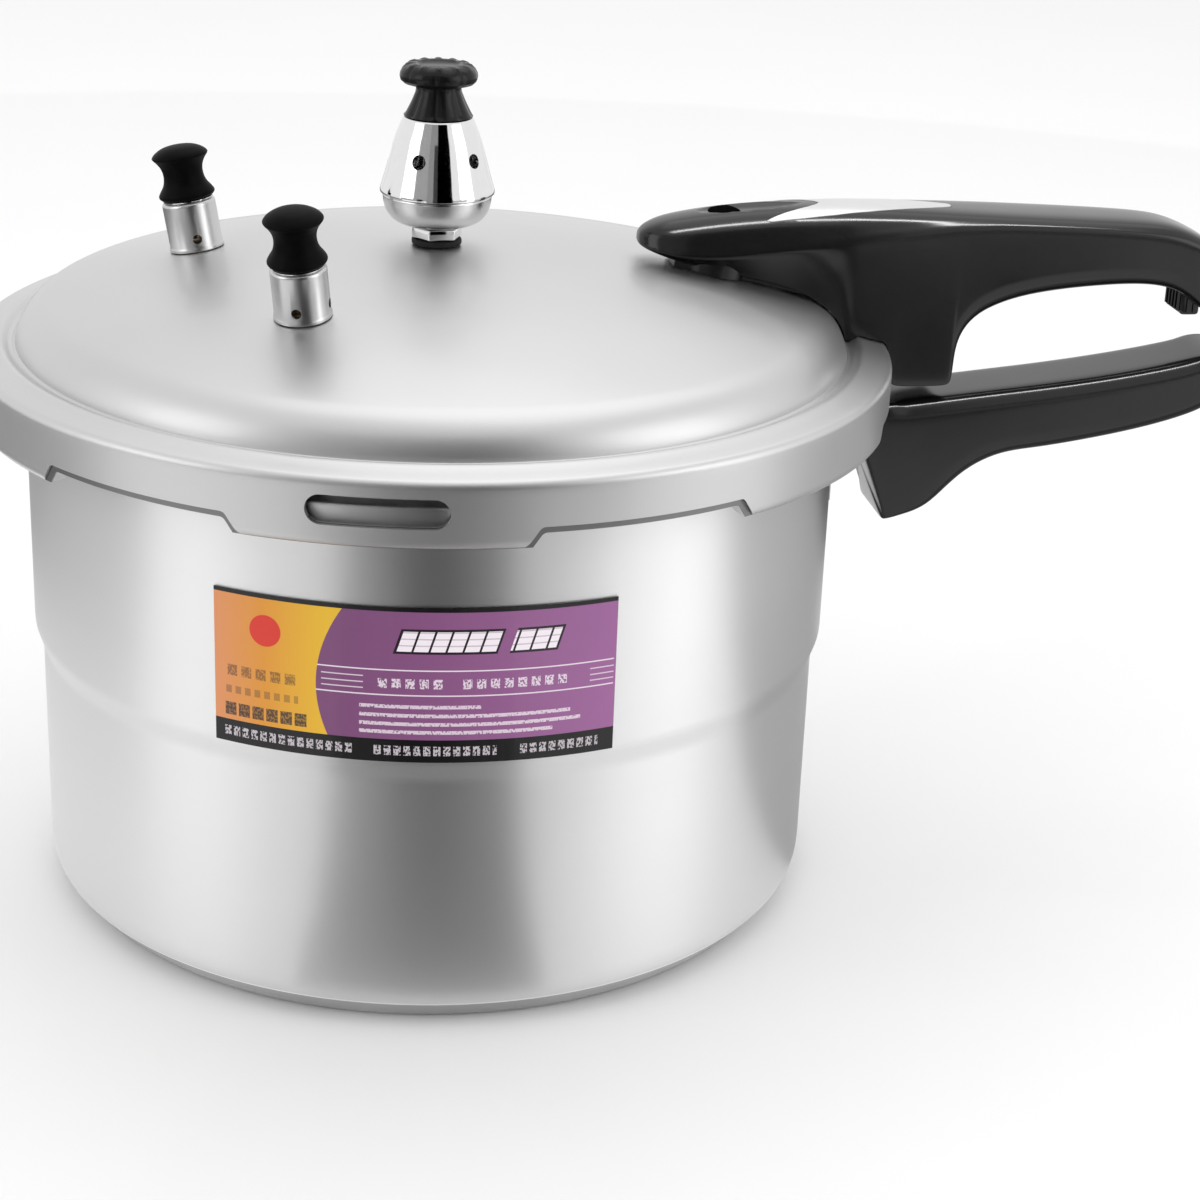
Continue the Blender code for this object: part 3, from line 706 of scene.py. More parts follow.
def make_lid(metal):
    hole = math.degrees(math.asin(4.0 / DOME_R))
    outline = arc(MIDDLE, DOME_R, 90 - hole, 90 - LEAN, 24)[:-1] + lid_outside()
    outline += arc((135.9, 154.9), 2.6, 0, -90, 7)
    outline += arc((131.8, 153.6), 1.3, -90, -270, 6)
    outline += [(134.6, 155.1), (135.6, 155.7), (136.0, 157.0), (136.0, 166.2)]
    outline += arc((134.6, 167.4), 1.4, 0, 80, 4)
    outline += [(129.9, 170.1), (127.0, 169.4), (124.4, 169.2), (123.4, 170.4)]
    outline += arc(HUB, SHOULDER - SHEET, 16, 90 - LEAN, 12)[:-1]
    outline += arc(MIDDLE, DOME_R - SHEET, 90 - LEAN, 90 - hole, 24)
    lid = spin("lid", mm(outline), 216)

    # between the lugs the edge is cut high, and a hem inside the skirt stays a little lower
    for shy in (0.0, HEM_DROP):
        gaps = []
        half_low, half_high, top = 34.4 - 0.5 * shy, 30.2 - 0.5 * shy, 158.6 - shy
        gap = [(-half_low, 145.0), (half_low, 145.0), (half_low, 152.6 - shy), (half_high, top)]
        gap += [(-half_high, top), (-half_low, 152.6 - shy)]
        for i in range(LUGS):
            cutter = prism("gap", mm(rounded(gap, [0, 0, 1.8, 2.2, 2.2, 1.8], 5)), -0.145, -0.122)
            turn = LUG_AZIMUTH + LUG_PITCH * (i + 0.5) + 90
            gaps.append(place(cutter, Matrix.Rotation(math.radians(turn), 4, "Z")))
        cutters = join(gaps)
        if shy == 0.0:
            outline = [(0.0, 140.0), (HEM_R, 140.0), (HEM_R, 175.0), (0.0, 175.0)]
            core = spin("core", mm(outline), 216, closed=False)
            cut_with(cutters, core)
        cut_with(lid, cutters)
    half, tall, centre = 14.8, 4.1, 162.4
    ends = arc((half, centre), tall, -90, 90, 14) + arc((-half, centre), tall, 90, 270, 14)
    window = prism("window", mm(ends), -0.142, -0.132)
    cut_with(lid, place(window, Matrix.Rotation(math.radians(LUG_AZIMUTH - 0.3 + 90), 4, "Z")))
    for radius, spot in FITTINGS:
        hole = rod("hole", radius * MM, -6 * MM, 5 * MM, 32)
        cut_with(lid, place(hole, dome_frame(*spot)))
    return finish_piece(lid, metal, "lid", ["lid_shell"], 30)


def make_gasket(rubber):
    """A lipped ring that sits on the rim under the lid."""
    outline = [(132.5, 166.8), (132.5, 168.9), (128.0, 168.6), (124.0, 168.9), (121.5, 168.6), (121.5, 166.8)]
    gasket = spin("gasket", mm(rounded(outline, [0.7, 0.7, 0.5, 0.5, 0.7, 0.7], 3)), 128)
    return finish_piece(gasket, rubber, "gasket", ["sealing_gasket"])


def make_steam_plate(metal):
    """Perforated plate with a turned-up rim, resting on the step of the wall."""
    outline = [(10.0, 86.5), (10.0, 87.7), (116.6, 87.7), (118.3, 88.2), (119.5, 88.2), (119.5, 86.8),
               (118.6, 86.5)]
    plate = spin("steam_plate", mm(rounded(outline, 0.4, 3)), 96)
    holes = []
    for ring, count in ((24.0, 8), (42.0, 14), (60.0, 20), (78.0, 26), (96.0, 32), (110.0, 18)):
        for i in range(count):
            angle = 2 * math.pi * (i + 0.5 * (count % 4 == 2)) / count
            drill = rod("drill", 3.2 * MM, 84 * MM, 90 * MM, 16)
            spot = (ring * MM * math.cos(angle), ring * MM * math.sin(angle), 0)
            holes.append(place(drill, Matrix.Translation(spot)))
    cut_with(plate, join(holes))
    return finish_piece(plate, metal, "rack", ["steam_rack"])


# ---------------------------------------------------------------- handles

def read_table(table, x):
    """Read a row of values off a table, by straight lines between its rows."""
    for a, b in zip(table, table[1:]):
        if x <= b[0]:
            t = (x - a[0]) / (b[0] - a[0])
            return [p + (q - p) * t for p, q in zip(a[1:], b[1:])]
    return list(table[-1][1:])


def grip(name, stations, roof_of, keel_of):
    """A handle grown section by section. A station pairs a place along the top with a point of the underside
    and the radius of the lower edge there. roof_of gives the top's half section, the ridge and the half
    width, and keel_of the share of that width at the underside."""
    rings = []
    for i, (x_top, x_low, z_low, edge) in enumerate(stations):
        roof, ridge, half = roof_of(x_top)
        before, after = stations[max(i - 1, 0)], stations[min(i + 1, len(stations) - 1)]
        along = Vector((after[1] - before[1], after[2] - before[2])).normalized()
        inward = Vector((-along.y, along.x))
        low = Vector((x_low, z_low))
        foot = low + inward * edge
        keel = keel_of(x_low)
        brow = Vector((x_top, ridge - 0.7))
        side = [(x_top, half * share, z) for share, z in roof[1:]] + [(brow.x, half, brow.y)]
        first = min(0.2, 2.6 / max((foot - brow).length, 0.1))
        for share in (first, 0.5, 0.84, 1.0):
            point = brow.lerp(foot, share)
            side.append((point.x, half * (1 - (1 - keel) * share), point.y))
        for reach, inset in ((0.3, 0.3), (1.0, 0.0)):
            point = low + inward * edge * inset
            side.append((point.x, half * keel - edge * reach, point.y))
        side.append((low.x, 0.45 * half * keel, low.y))
        ring = [(x_top, 0.0, roof[0][1])] + side + [(low.x, 0.0, low.y)]
        ring += [(x, -y, z) for x, y, z in reversed(side)]
        rings.append([Vector(p) * MM for p in ring])
    handle = grow(name, rings)
    soften(handle, 2)
    return handle


# along the lid's handle: place, crest, ridge, half width
UPPER_TOP = [(61.0, 202.4, 200.6, 2.6), (61.8, 203.6, 200.4, 5.0), (63.5, 205.0, 200.0, 7.8),
             (68.0, 206.9, 199.0, 11.4), (74.0, 208.2, 198.3, 13.6), (84.0, 209.8, 198.4, 14.7),
             (97.0, 211.0, 199.9, 15.0), (111.0, 211.6, 201.9, 15.0), (125.0, 211.8, 203.9, 15.0),
             (139.5, 211.5, 205.8, 14.8), (158.0, 210.8, 207.6, 14.5), (173.0, 210.2, 208.0, 14.3),
             (196.0, 209.2, 207.2, 14.2), (210.0, 208.6, 206.3, 14.0), (222.0, 207.8, 205.2, 13.8),
             (229.0, 206.9, 204.0, 13.6), (238.0, 203.6, 201.0, 13.4), (243.0, 200.4, 197.8, 13.2),
             (246.5, 197.2, 195.0, 13.0), (249.0, 194.2, 192.3, 12.7), (250.8, 191.6, 190.2, 12.3),
             (251.9, 189.6, 188.6, 11.9), (252.4, 188.2, 187.4, 11.4)]

# along the lid's handle: top, underside, height of the underside, radius of the lower edge
UPPER_STATIONS = [(61.0, 61.0, 199.8, 0.3), (61.8, 61.8, 199.0, 0.4), (63.5, 63.5, 198.0, 0.6),
                  (68.0, 68.0, 196.3, 0.9), (74.0, 74.0, 194.6, 1.0), (84.0, 84.0, 192.3, 1.0),
                  (97.0, 97.0, 189.6, 1.0), (106.0, 106.0, 187.6, 1.0), (112.0, 112.0, 185.6, 1.0),
                  (117.0, 117.0, 182.4, 1.0), (120.5, 120.5, 178.0, 1.0), (123.0, 122.8, 173.5, 1.0),
                  (126.0, 125.0, 170.3, 1.0), (129.0, 128.5, 169.0, 1.0), (133.0, 133.0, 168.4, 1.0),
                  (136.5, 136.8, 167.6, 1.0), (138.5, 138.4, 165.6, 0.8), (140.0, 138.8, 162.0, 0.8),
                  (141.5, 139.3, 159.0, 0.8), (143.6, 140.6, 157.2, 0.8), (146.0, 144.0, 156.9, 0.8),
                  (149.0, 149.0, 156.9, 0.8), (153.0, 154.5, 156.9, 0.8), (156.0, 158.2, 157.1, 0.8),
                  (157.6, 159.6, 158.4, 0.8), (158.8, 160.0, 163.0, 1.2), (160.2, 160.4, 168.0, 1.8),
                  (162.0, 161.6, 172.3, 2.5), (164.5, 163.9, 175.8, 3.5), (167.5, 167.2, 178.5, 4.5),
                  (171.5, 171.3, 180.8, 5.0), (179.5, 179.5, 184.0, 5.0), (192.0, 192.0, 186.2, 5.0),
                  (205.0, 205.0, 187.4, 4.8), (214.0, 214.0, 187.9, 4.6), (221.0, 221.0, 187.9, 4.4),
                  (228.0, 227.5, 187.2, 4.0), (234.0, 232.5, 185.4, 3.6), (240.0, 236.8, 182.6, 3.2),
                  (244.0, 239.8, 180.2, 2.6), (246.5, 242.2, 179.1, 2.2), (248.6, 245.5, 178.9, 2.0),
                  (250.4, 248.8, 179.6, 1.8), (251.5, 250.8, 181.0, 1.6), (252.1, 251.9, 183.0, 1.4),
                  (252.5, 252.4, 185.2, 1.0)]

# along the pot's handle: place, rim, depth of the dished top, half width
LOWER_TOP = [(129.3, 147.6, 0.0, 13.4), (130.2, 148.6, 0.0, 14.3), (133.0, 149.3, 0.0, 14.5),
             (138.0, 150.3, 0.0, 14.5), (142.5, 151.0, 0.0, 14.5), (145.0, 151.4, 1.6, 14.5),
             (148.0, 151.9, 2.0, 14.5), (155.0, 152.7, 2.0, 14.5), (170.0, 154.4, 2.0, 14.5),
             (192.0, 156.8, 2.0, 14.5), (208.0, 158.8, 2.0, 14.5), (224.0, 161.3, 2.0, 14.4),
             (236.0, 163.6, 2.0, 14.2), (241.0, 164.7, 1.4, 14.0), (244.5, 165.5, 0.0, 13.9),
             (249.0, 166.0, -0.2, 13.6), (253.0, 165.6, -0.2, 13.0), (255.3, 163.6, -0.1, 12.2),
             (255.9, 161.8, 0.0, 11.4)]

LOWER_STATIONS = [(129.3, 140.5, 113.7, 0.8), (130.2, 141.1, 113.0, 1.4), (133.0, 142.3, 112.9, 1.8),
                  (138.0, 144.6, 113.3, 2.0), (142.5, 147.2, 113.9, 2.4), (145.0, 149.0, 114.4, 2.5),
                  (148.0, 151.0, 115.0, 2.6), (151.5, 153.4, 115.9, 3.0), (155.0, 156.0, 117.3, 3.2),
                  (159.0, 159.3, 120.1, 3.5), (163.0, 162.7, 123.6, 3.8), (170.0, 168.7, 129.1, 4.0),
                  (178.0, 177.0, 133.2, 4.0), (185.0, 184.5, 134.6, 4.0), (192.0, 192.0, 135.3, 4.0),
                  (208.0, 210.0, 138.2, 4.0), (224.0, 227.0, 141.7, 4.0), (236.0, 239.0, 145.2, 4.0),
                  (241.0, 244.0, 147.3, 4.0), (244.5, 247.3, 149.2, 4.0), (249.0, 251.4, 152.4, 3.5),
                  (253.0, 254.4, 155.8, 3.0), (255.3, 255.7, 158.4, 2.0), (255.9, 256.0, 160.0, 1.0)]


def upper_roof(x):
    crest, ridge, half = read_table(UPPER_TOP, x)
    drop = crest - ridge
    shares = ((0.0, 0.0), (0.36, 0.02), (0.62, 0.13), (0.80, 0.40), (0.895, 0.79))
    return [(share, crest - drop * fall) for share, fall in shares], ridge, half


def lower_roof(x):
    rim, depth, half = read_table(LOWER_TOP, x)
    drop = 0.55 * depth
    shares = ((0.0, 0.0), (0.45, 0.02), (0.78, 0.08), (0.81, 0.85), (0.88, 1.0))
    return [(share, rim - drop * fall) for share, fall in shares], rim - drop - 1.8, half


# the share of its width that a handle keeps at the underside, and how the lid's handle gets there
FULL_KEEL = 0.985
UPPER_KEEL = [(61.0, 0.55), (100.0, 0.60), (116.0, 0.82), (124.0, FULL_KEEL), (260.0, FULL_KEEL)]


def upper_keel(x):
    return read_table(UPPER_KEEL, x)[0]


def lower_keel(x):
    return FULL_KEEL


def widen(outline, reach):
    """Move a closed plan outline outwards by a small distance."""
    out = []
    count = len(outline)
    for i in range(count):
        along = Vector(outline[(i + 1) % count]) - Vector(outline[i - 1])
        away = Vector((along.y, -along.x)).normalized()
        out.append(tuple(Vector(outline[i]) + away * reach))
    return out


def make_upper_handle(plastic, silver):
    handle = grip("upper_handle", UPPER_STATIONS, upper_roof, upper_keel)
    collar = place(rod("collar", 10.6 * MM, -4 * MM, 8 * MM, 48), dome_frame(*FLOAT_AT))
    cut_with(handle, collar, "UNION")
    outline = [(70.0, 184.0), (118.0, 178.0), (118.0, 190.0), (72.0, 197.0)]
    keel = prism("keel", mm(outline), -6.5 * MM, 6.5 * MM)
    cut_with(handle, keel, "UNION")
    cut_with(handle, lid_form(0.45))

    # the tab inside the hooked end, with its ribs
    outline = [(235.2, 176.8), (241.5, 176.8), (241.5, 192.0), (235.2, 192.0)]
    tab = prism("tab", mm(rounded(outline, [1.6, 1.2, 0, 0], 4)), -5 * MM, 8 * MM)
    bevel(tab, 0.5 * MM, 2)
    ribs = []
    for i in range(5):
        y = (-4.2 + 2.5 * i) * MM
        outline = [(234.6, 178.0), (236.5, 178.0), (236.5, 187.5), (234.6, 187.5)]
        ribs.append(prism("rib", mm(outline), y, y + 1.1 * MM))
    for i in range(2):
        x = 237.2 + 2.1 * i
        outline = [(x, 177.6), (x + 0.9, 177.6), (x + 0.9, 187.5), (x, 187.5)]
        ribs.append(prism("rib", mm(outline), -5.5 * MM, -4.0 * MM))
    cut_with(tab, join(ribs), "UNION")
    cut_with(handle, tab, "UNION")

    # the teardrop dish round the float valve's hole
    dish = (30.8 * MM, 8.9 * MM, 5.0 * MM)
    deselect()
    bpy.ops.mesh.primitive_uv_sphere_add(segments=64, ring_count=32, radius=1)
    bowl = bpy.context.object
    edit(bowl)
    bpy.ops.mesh.select_all(action="SELECT")
    bpy.ops.transform.resize(value=dish)
    bm = bmesh.from_edit_mesh(bowl.data)
    for v in bm.verts:
        if v.co.x > 0:
            v.co.y *= 1 - 0.75 * v.co.x / dish[0]
    bmesh.update_edit_mesh(bowl.data)
    bpy.ops.object.mode_set(mode="OBJECT")
    tilt = Matrix.Rotation(math.radians(-4.4), 4, "Y")
    place(bowl, Matrix.Translation((94.5 * MM, 0, 214.4 * MM)) @ tilt)
    cut_with(handle, bowl)

    # the silver plate follows the handle's top and lies in a groove
    right = [(158.6, 1.3), (157.6, 2.3), (150.0, 4.6), (140.0, 6.9), (130.0, 8.6), (120.0, 9.7),
             (110.0, 10.3), (100.0, 10.6)]
    inner = [(98.6, 10.3), (103.0, 8.7), (108.0, 6.7), (112.5, 4.5), (115.6, 2.2)]
    plan = right + inner + [(117.0, 0.0)]
    plan += [(x, -y) for x, y in reversed(right + inner)]
    inlay = raised("inlay", mm(plan), 0.195, 0.225)
    cut_with(inlay, copy_of(handle, "above"), "INTERSECT")
    cut_with(inlay, place(copy_of(handle, "below"), Matrix.Translation((0, 0, -1.0 * MM))))
    groove = raised("groove", mm(widen(plan, 0.22)), 0.195, 0.225)
    cut_with(groove, place(copy_of(handle, "below"), Matrix.Translation((0, 0, -1.15 * MM))))
    cut_with(handle, groove)
    place(inlay, Matrix.Translation((0, 0, 0.12 * MM)))
    finish_piece(inlay, silver, "lid", ["lid_handle_inlay"])

    hole = place(rod("hole", 5 * MM, 0.19, 0.22, 40), Matrix.Translation((87.5 * MM, 0, 0)))
    cut_with(handle, hole)
    cut_with(handle, place(rod("room", 8.5 * MM, -4 * MM, 11.5 * MM, 40), dome_frame(*FLOAT_AT)))
    for spot in (SCREW_FRONT, SCREW_REAR):
        cut_with(handle, place(rod("thread", 2.1 * MM, -6 * MM, 11.5 * MM, 24), dome_frame(*spot)))
    return finish_piece(handle, plastic, "lid", ["lid_handle"])


LOWER_SCREW = Matrix.Translation((151 * MM, 0, 0))


def make_lower_handle(plastic):
    handle = grip("lower_handle", LOWER_STATIONS, lower_roof, lower_keel)
    pocket = [(120.0, 134.7), (160.3, 134.7), (160.3, 142.3), (120.0, 142.3)]
    cut_with(handle, prism("pocket", mm(pocket), -7.3 * MM, 7.3 * MM))
    for radius, low, high in ((2.8, 105.0, 136.5), (5.2, 100.0, 121.5)):
        hole = rod("hole", radius * MM, low * MM, high * MM, 32)
        cut_with(handle, place(hole, LOWER_SCREW))
    return finish_piece(handle, plastic, "pot", ["pot_handle"])


def make_bracket(steel, metal):
    """Riveted steel plate with a tongue for the lower handle, and the screw that holds the handle on it."""
    outline = rounded([(122.8, 119.0), (124.8, 119.0), (124.8, 151.5), (122.8, 151.5)], 0.3, 2)
    plate = spin("handle_bracket", mm(outline), 12, angle=10)
    place(plate, Matrix.Rotation(math.radians(-5), 4, "Z"))
    outline = [(123.8, 135.0), (160.0, 135.0), (160.0, 142.0), (123.8, 142.0)]
    tongue = prism("tongue", mm(outline), -7 * MM, 7 * MM)
    bevel(tongue, 0.8 * MM, 3)
    cut_with(plate, tongue, "UNION")
    cut_with(plate, place(rod("thread", 2.6 * MM, 130 * MM, 145 * MM, 24), LOWER_SCREW))
    finish_piece(plate, steel, "pot", ["pot_bracket"])

    head = [(0.0, 126.6), (1.6, 126.5), (3.2, 126.0), (4.1, 125.4), (4.1, 125.1), (2.0, 125.1),
            (2.0, 120.3), (0.0, 120.3)]
    for node, z in (("pot_rivet_upper", 146.7), ("pot_rivet_lower", 126.5)):
        rivet = spin(node.replace("pot", "bracket"), mm(head), 32, closed=False)
        across = Matrix.Translation((0, 0, z * MM)) @ SIDEWAYS
        finish_piece(place(rivet, across), metal, "pot", [node])

    shank = [(0.0, 142.0), (2.3, 142.0), (2.3, 121.2), (4.7, 121.2), (4.7, 119.4), (4.2, 118.5),
             (2.8, 117.9), (0.0, 117.8)]
    screw = spin("lower_handle_screw", mm(shank), 32, closed=False)
    cut_with(screw, prism("slot", mm([(-6, 116), (6, 116), (6, 118.9), (-6, 118.9)]), -0.5 * MM, 0.5 * MM))
    place(screw, LOWER_SCREW)
    finish_piece(screw, steel, "pot", ["pot_handle_screw"])


def make_handle_screws(steel):
    shank = [(0.0, 11.0), (1.8, 11.0), (1.8, -2.8), (4.0, -2.8), (4.0, -4.1), (3.6, -4.9), (2.6, -5.4),
             (0.0, -5.5)]
    for name, spot in (("front", SCREW_FRONT), ("rear", SCREW_REAR)):
        screw = spin("handle_screw_" + name, mm(shank), 32, closed=False)
        cut_with(screw, prism("slot", mm([(-6, -7), (6, -7), (6, -4.4), (-6, -4.4)]), -0.45 * MM, 0.45 * MM))
        place(screw, dome_frame(*spot))
        finish_piece(screw, steel, "lid", ["lid_handle_screw_" + name])


# ---------------------------------------------------------------- valves

def smooth_line(points, steps=5):
    """A smooth curve through a few points."""
    out = []
    for i in range(len(points) - 1):
        a, b = points[max(i - 1, 0)], points[i]
        c, d = points[i + 1], points[min(i + 2, len(points) - 1)]
        for k in range(steps):
            t = k / steps
            point = []
            for p, q, r, s in zip(a, b, c, d):
                curve = 2 * q + (r - p) * t + (2 * p - 5 * q + 4 * r - s) * t ** 2
                curve += (3 * q - p - 3 * r + s) * t ** 3
                point.append(0.5 * curve)
            out.append(tuple(point))
    return out + [points[-1]]


def hexagon(name, across, bore, low, high):
    """A hexagonal nut with chamfered edges and a plain bore."""
    corner = across / math.sqrt(3)
    turns = [math.radians(60 * i + 8) for i in range(6)]
    nut = raised(name, mm([(corner * math.cos(a), corner * math.sin(a)) for a in turns]), low * MM, high * MM)
    bevel(nut, 0.45 * MM, 3)
    cut_with(nut, rod("bore", bore * MM, (low - 1) * MM, (high + 1) * MM, 32))
    return nut


def tube(name, inner, outer, low, high, soft=0.3, steps=48):
    outline = rounded([(inner, high), (outer, high), (outer, low), (inner, low)], soft, 3)
    return spin(name, mm(outline), steps)


def coil(name, radius, wire, low, high, turns):
    """A round wire wound up the Z axis."""
    deselect()
    bpy.ops.mesh.primitive_circle_add(vertices=12, radius=wire, rotation=(math.radians(90), 0, 0))
    obj = bpy.context.object
    obj.name = name
    obj.data.name = name
    bpy.ops.object.transform_apply(rotation=True)
    obj.data.transform(Matrix.Translation((radius, 0, low + wire)))
    mod = obj.modifiers.new("wind", "SCREW")
    mod.axis = "Z"
    mod.angle = 2 * math.pi * turns
    mod.screw_offset = high - low - 2 * wire
    mod.steps = mod.render_steps = 32 * turns
    mod.use_merge_vertices = False
    apply_modifiers(obj)
    edit(obj)
    bpy.ops.mesh.select_all(action="SELECT")
    bpy.ops.mesh.fill_holes(sides=0)
    bpy.ops.mesh.normals_make_consistent(inside=False)
    bpy.ops.object.mode_set(mode="OBJECT")
    return obj


def make_relief_valve(letter, spot, mats):
    """Spring-loaded relief valve with a waisted black knob."""
    node = "relief_valve_" + letter + "_"
    stand = dome_frame(*spot)

    def put(piece, mat, body, part):
        return finish_piece(place(piece, stand), mat, body, [node + part])

    seat = [(1.2, 3.0), (5.2, 3.0), (5.8, 2.4), (5.8, 0.3), (3.5, 0.3), (3.5, -8.2), (3.2, -8.5), (1.2, -8.5)]
    put(spin("relief_seat_" + letter, mm(seat), 40), mats["brass"], "lid", "seat")
    put(tube("relief_seal_" + letter, 3.8, 6.5, -4.4, -2.8), mats["rubber"], "lid", "seal")
    put(hexagon("relief_nut_" + letter, 12, 3.8, -7.7, -4.7), mats["steel"], "lid", "nut")

    outer = [(2.6, 15.0), (6.9, 15.0), (7.5, 14.85), (7.9, 14.4), (8.0, 13.8), (8.0, 1.5), (8.15, 1.2),
             (8.25, 0.9), (8.25, 0.3)]
    inner = [(7.2, 0.3), (7.2, 13.4), (6.8, 13.9), (2.6, 14.0)]
    shell = spin("relief_shell_" + letter, mm(outer + inner), 72)
    for turn in (22, 112):
        across = Matrix.Rotation(math.radians(turn), 4, "Z") @ Matrix.Translation((0, 0, 4 * MM))
        side = rod("side", 1.4 * MM, -10 * MM, 10 * MM, 24)
        cut_with(shell, place(side, across @ SIDEWAYS))
    put(shell, mats["shell"], "lid", "shell")

    stem = [(0.0, 26.8), (1.5, 26.8), (1.5, 15.55), (7.3, 15.55), (7.5, 15.4), (7.5, 15.2), (7.3, 15.1),
            (1.5, 15.1), (1.5, 6.2), (4.6, 6.2), (4.6, 5.2), (1.5, 5.2), (1.5, 4.2), (0.6, 3.3), (0.0, 3.3)]
    body = "relief_" + letter
    put(spin("relief_stem_" + letter, mm(stem), 40, closed=False), mats["chrome"], body, "stem")

    # the coil over the stem stays at rest on the lid; a pulled knob would press it against the shell's roof
    low, high = 6.5 * MM, 13.7 * MM
    spring = coil("relief_spring_" + letter, 3.6 * MM, 0.45 * MM, low, high, 4)
    put(spring, mats["steel"], "lid", "spring")
    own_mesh(spring)

    spool = [(0.0, 31.7), (2.6, 31.55), (5.2, 31.0), (7.3, 29.9), (8.3, 28.9), (8.35, 28.3), (7.4, 27.1),
             (6.5, 25.6), (6.0, 23.7), (6.1, 21.6), (6.7, 19.8), (7.8, 18.2), (8.4, 17.1), (8.3, 16.4),
             (7.7, 15.8)]
    under = [(7.2, 15.7), (1.8, 15.7), (1.8, 27.1), (0.0, 27.1)]
    knob = spin("relief_knob_" + letter, mm(smooth_line(spool, 4) + under), 72, closed=False)
    put(knob, mats["matt_plastic"], body, "knob")


def make_vent(mats):
    """The vent pipe in the middle of the lid, clamped with a nut, and its strainer inside."""
    pipe = [(1.3, 216.0), (1.9, 216.0), (2.3, 215.6), (3.5, 214.0), (3.5, 194.3), (7.0, 194.3),
            (7.0, 192.3), (3.5, 192.3), (3.5, 187.8), (3.2, 187.5), (1.3, 187.5)]
    finish_piece(spin("vent_tube", mm(pipe), 40), mats["steel"], "lid", ["vent_pipe"])
    finish_piece(tube("vent_gasket", 3.8, 6.8, 194.6, 196.2), mats["rubber"], "lid", ["vent_seal"])
    finish_piece(tube("vent_foot", 3.8, 7.5, 199.3, 201.1, 0.6), mats["rubber"], "lid", ["vent_washer"])
    finish_piece(hexagon("vent_hexagon", 13.5, 3.8, 201.4, 204.7), mats["chrome"], "lid", ["vent_nut"])
    cup = [(3.8, 192.0), (8.2, 191.3), (9.0, 190.4), (9.0, 181.4), (8.5, 180.8), (2.0, 179.0), (2.0, 180.2),
           (7.6, 181.9), (8.0, 182.4), (8.0, 189.6), (7.6, 190.2), (3.8, 191.0)]
    strainer = spin("vent_strainer", mm(cup), 48)
    for i in range(3):
        slot = prism("slot", mm([(-12, 184), (12, 184), (12, 188.5), (-12, 188.5)]), -1 * MM, 1 * MM)
        cut_with(strainer, place(slot, Matrix.Rotation(math.radians(60 * i + 11), 4, "Z")))
    finish_piece(strainer, mats["steel"], "lid", ["vent_filter"])


def make_regulator(mats):
    """The weight on the vent pipe: needle, base ring, bell and black knob."""
    needle = [(0.0, 234.5), (1.6, 234.5), (1.6, 226.2), (4.0, 226.2), (4.0, 220.0), (1.0, 216.4),
              (0.4, 215.0), (0.0, 215.0)]
    finish_piece(spin("needle", mm(needle), 40, closed=False), mats["steel"], "regulator_core",
                 ["regulator_needle"])

    ring = smooth_line([(11.2, 206.0), (13.4, 207.2), (15.2, 209.5), (15.95, 211.8), (16.25, 214.2)], 5)
    ring += [(16.1, 214.6), (15.3, 214.6), (15.0, 212.0), (13.8, 209.4), (11.2, 207.6), (4.5, 207.4),
             (4.5, 206.0)]
    finish_piece(spin("base_ring", mm(ring), 128), mats["turned"], "regulator", ["regulator_base_ring"])

    bell = [(2.2, 237.35), (10.1, 237.35), (10.4, 237.1)]
    bell += smooth_line([(10.55, 236.7), (12.45, 232.0), (14.2, 226.0), (15.75, 220.2), (16.9, 216.3)], 14)
    bell += [(17.05, 215.7), (17.0, 215.1), (16.7, 214.9), (15.3, 214.9), (14.8, 217.0), (12.3, 225.8),
             (9.2, 234.5), (2.2, 235.2)]
    cover = spin("bell", mm(bell), 200)
    for i in range(5):
        side = rod("side", 2.1 * MM, 8 * MM, 20 * MM, 32)
        across = Matrix.Rotation(math.radians(72 * i - 119), 4, "Z") @ Matrix.Translation((0, 0, 226.2 * MM))
        cut_with(cover, place(side, across @ SIDEWAYS))
    finish_piece(cover, mats["chrome"], "regulator", ["regulator_bell"])

    outline = [(0.0, 252.3), (5.2, 252.3), (5.9, 252.6), (6.6, 253.0), (8.4, 252.9), (9.6, 252.5),
               (10.8, 251.6), (11.5, 250.4), (11.65, 249.4), (11.3, 248.2), (10.3, 247.3), (8.4, 246.8),
               (6.9, 246.3), (6.7, 245.6)]
    outline += smooth_line([(7.0, 244.6), (8.1, 242.0), (9.2, 239.8), (10.25, 237.8)], 3)
    outline += [(10.0, 237.7), (0.0, 237.7)]
    knob = spin("regulator_grip", mm(outline), 192, closed=False)
    edit(knob)
    bm = bmesh.from_edit_mesh(knob.data)
    for v in bm.verts:
        turn = math.atan2(v.co.y, v.co.x) + math.radians(12)
        r, z = math.hypot(v.co.x, v.co.y) / MM, v.co.z / MM
        lobe = abs(math.sin(4 * turn))
        if r > 6.8 and z > 246.5:
            height = max(0.0, 1 - abs(z - 249.6) / 3.2)
            scale = 1 - 0.05 * height * (1 - lobe ** 0.5)
            v.co.x *= scale
            v.co.y *= scale
            if z > 252.3:
                v.co.z += (0.35 * max(0.0, math.sin(12 * turn)) ** 0.5) * MM
        elif r > 6.8 and z > 237.9:
            scale = 1 - 0.07 * (1 - lobe ** 0.6)
            v.co.x *= scale
            v.co.y *= scale
    bmesh.update_edit_mesh(knob.data)
    bpy.ops.object.mode_set(mode="OBJECT")
    finish_piece(knob, mats["knob_plastic"], "regulator", ["regulator_knob"], 28)


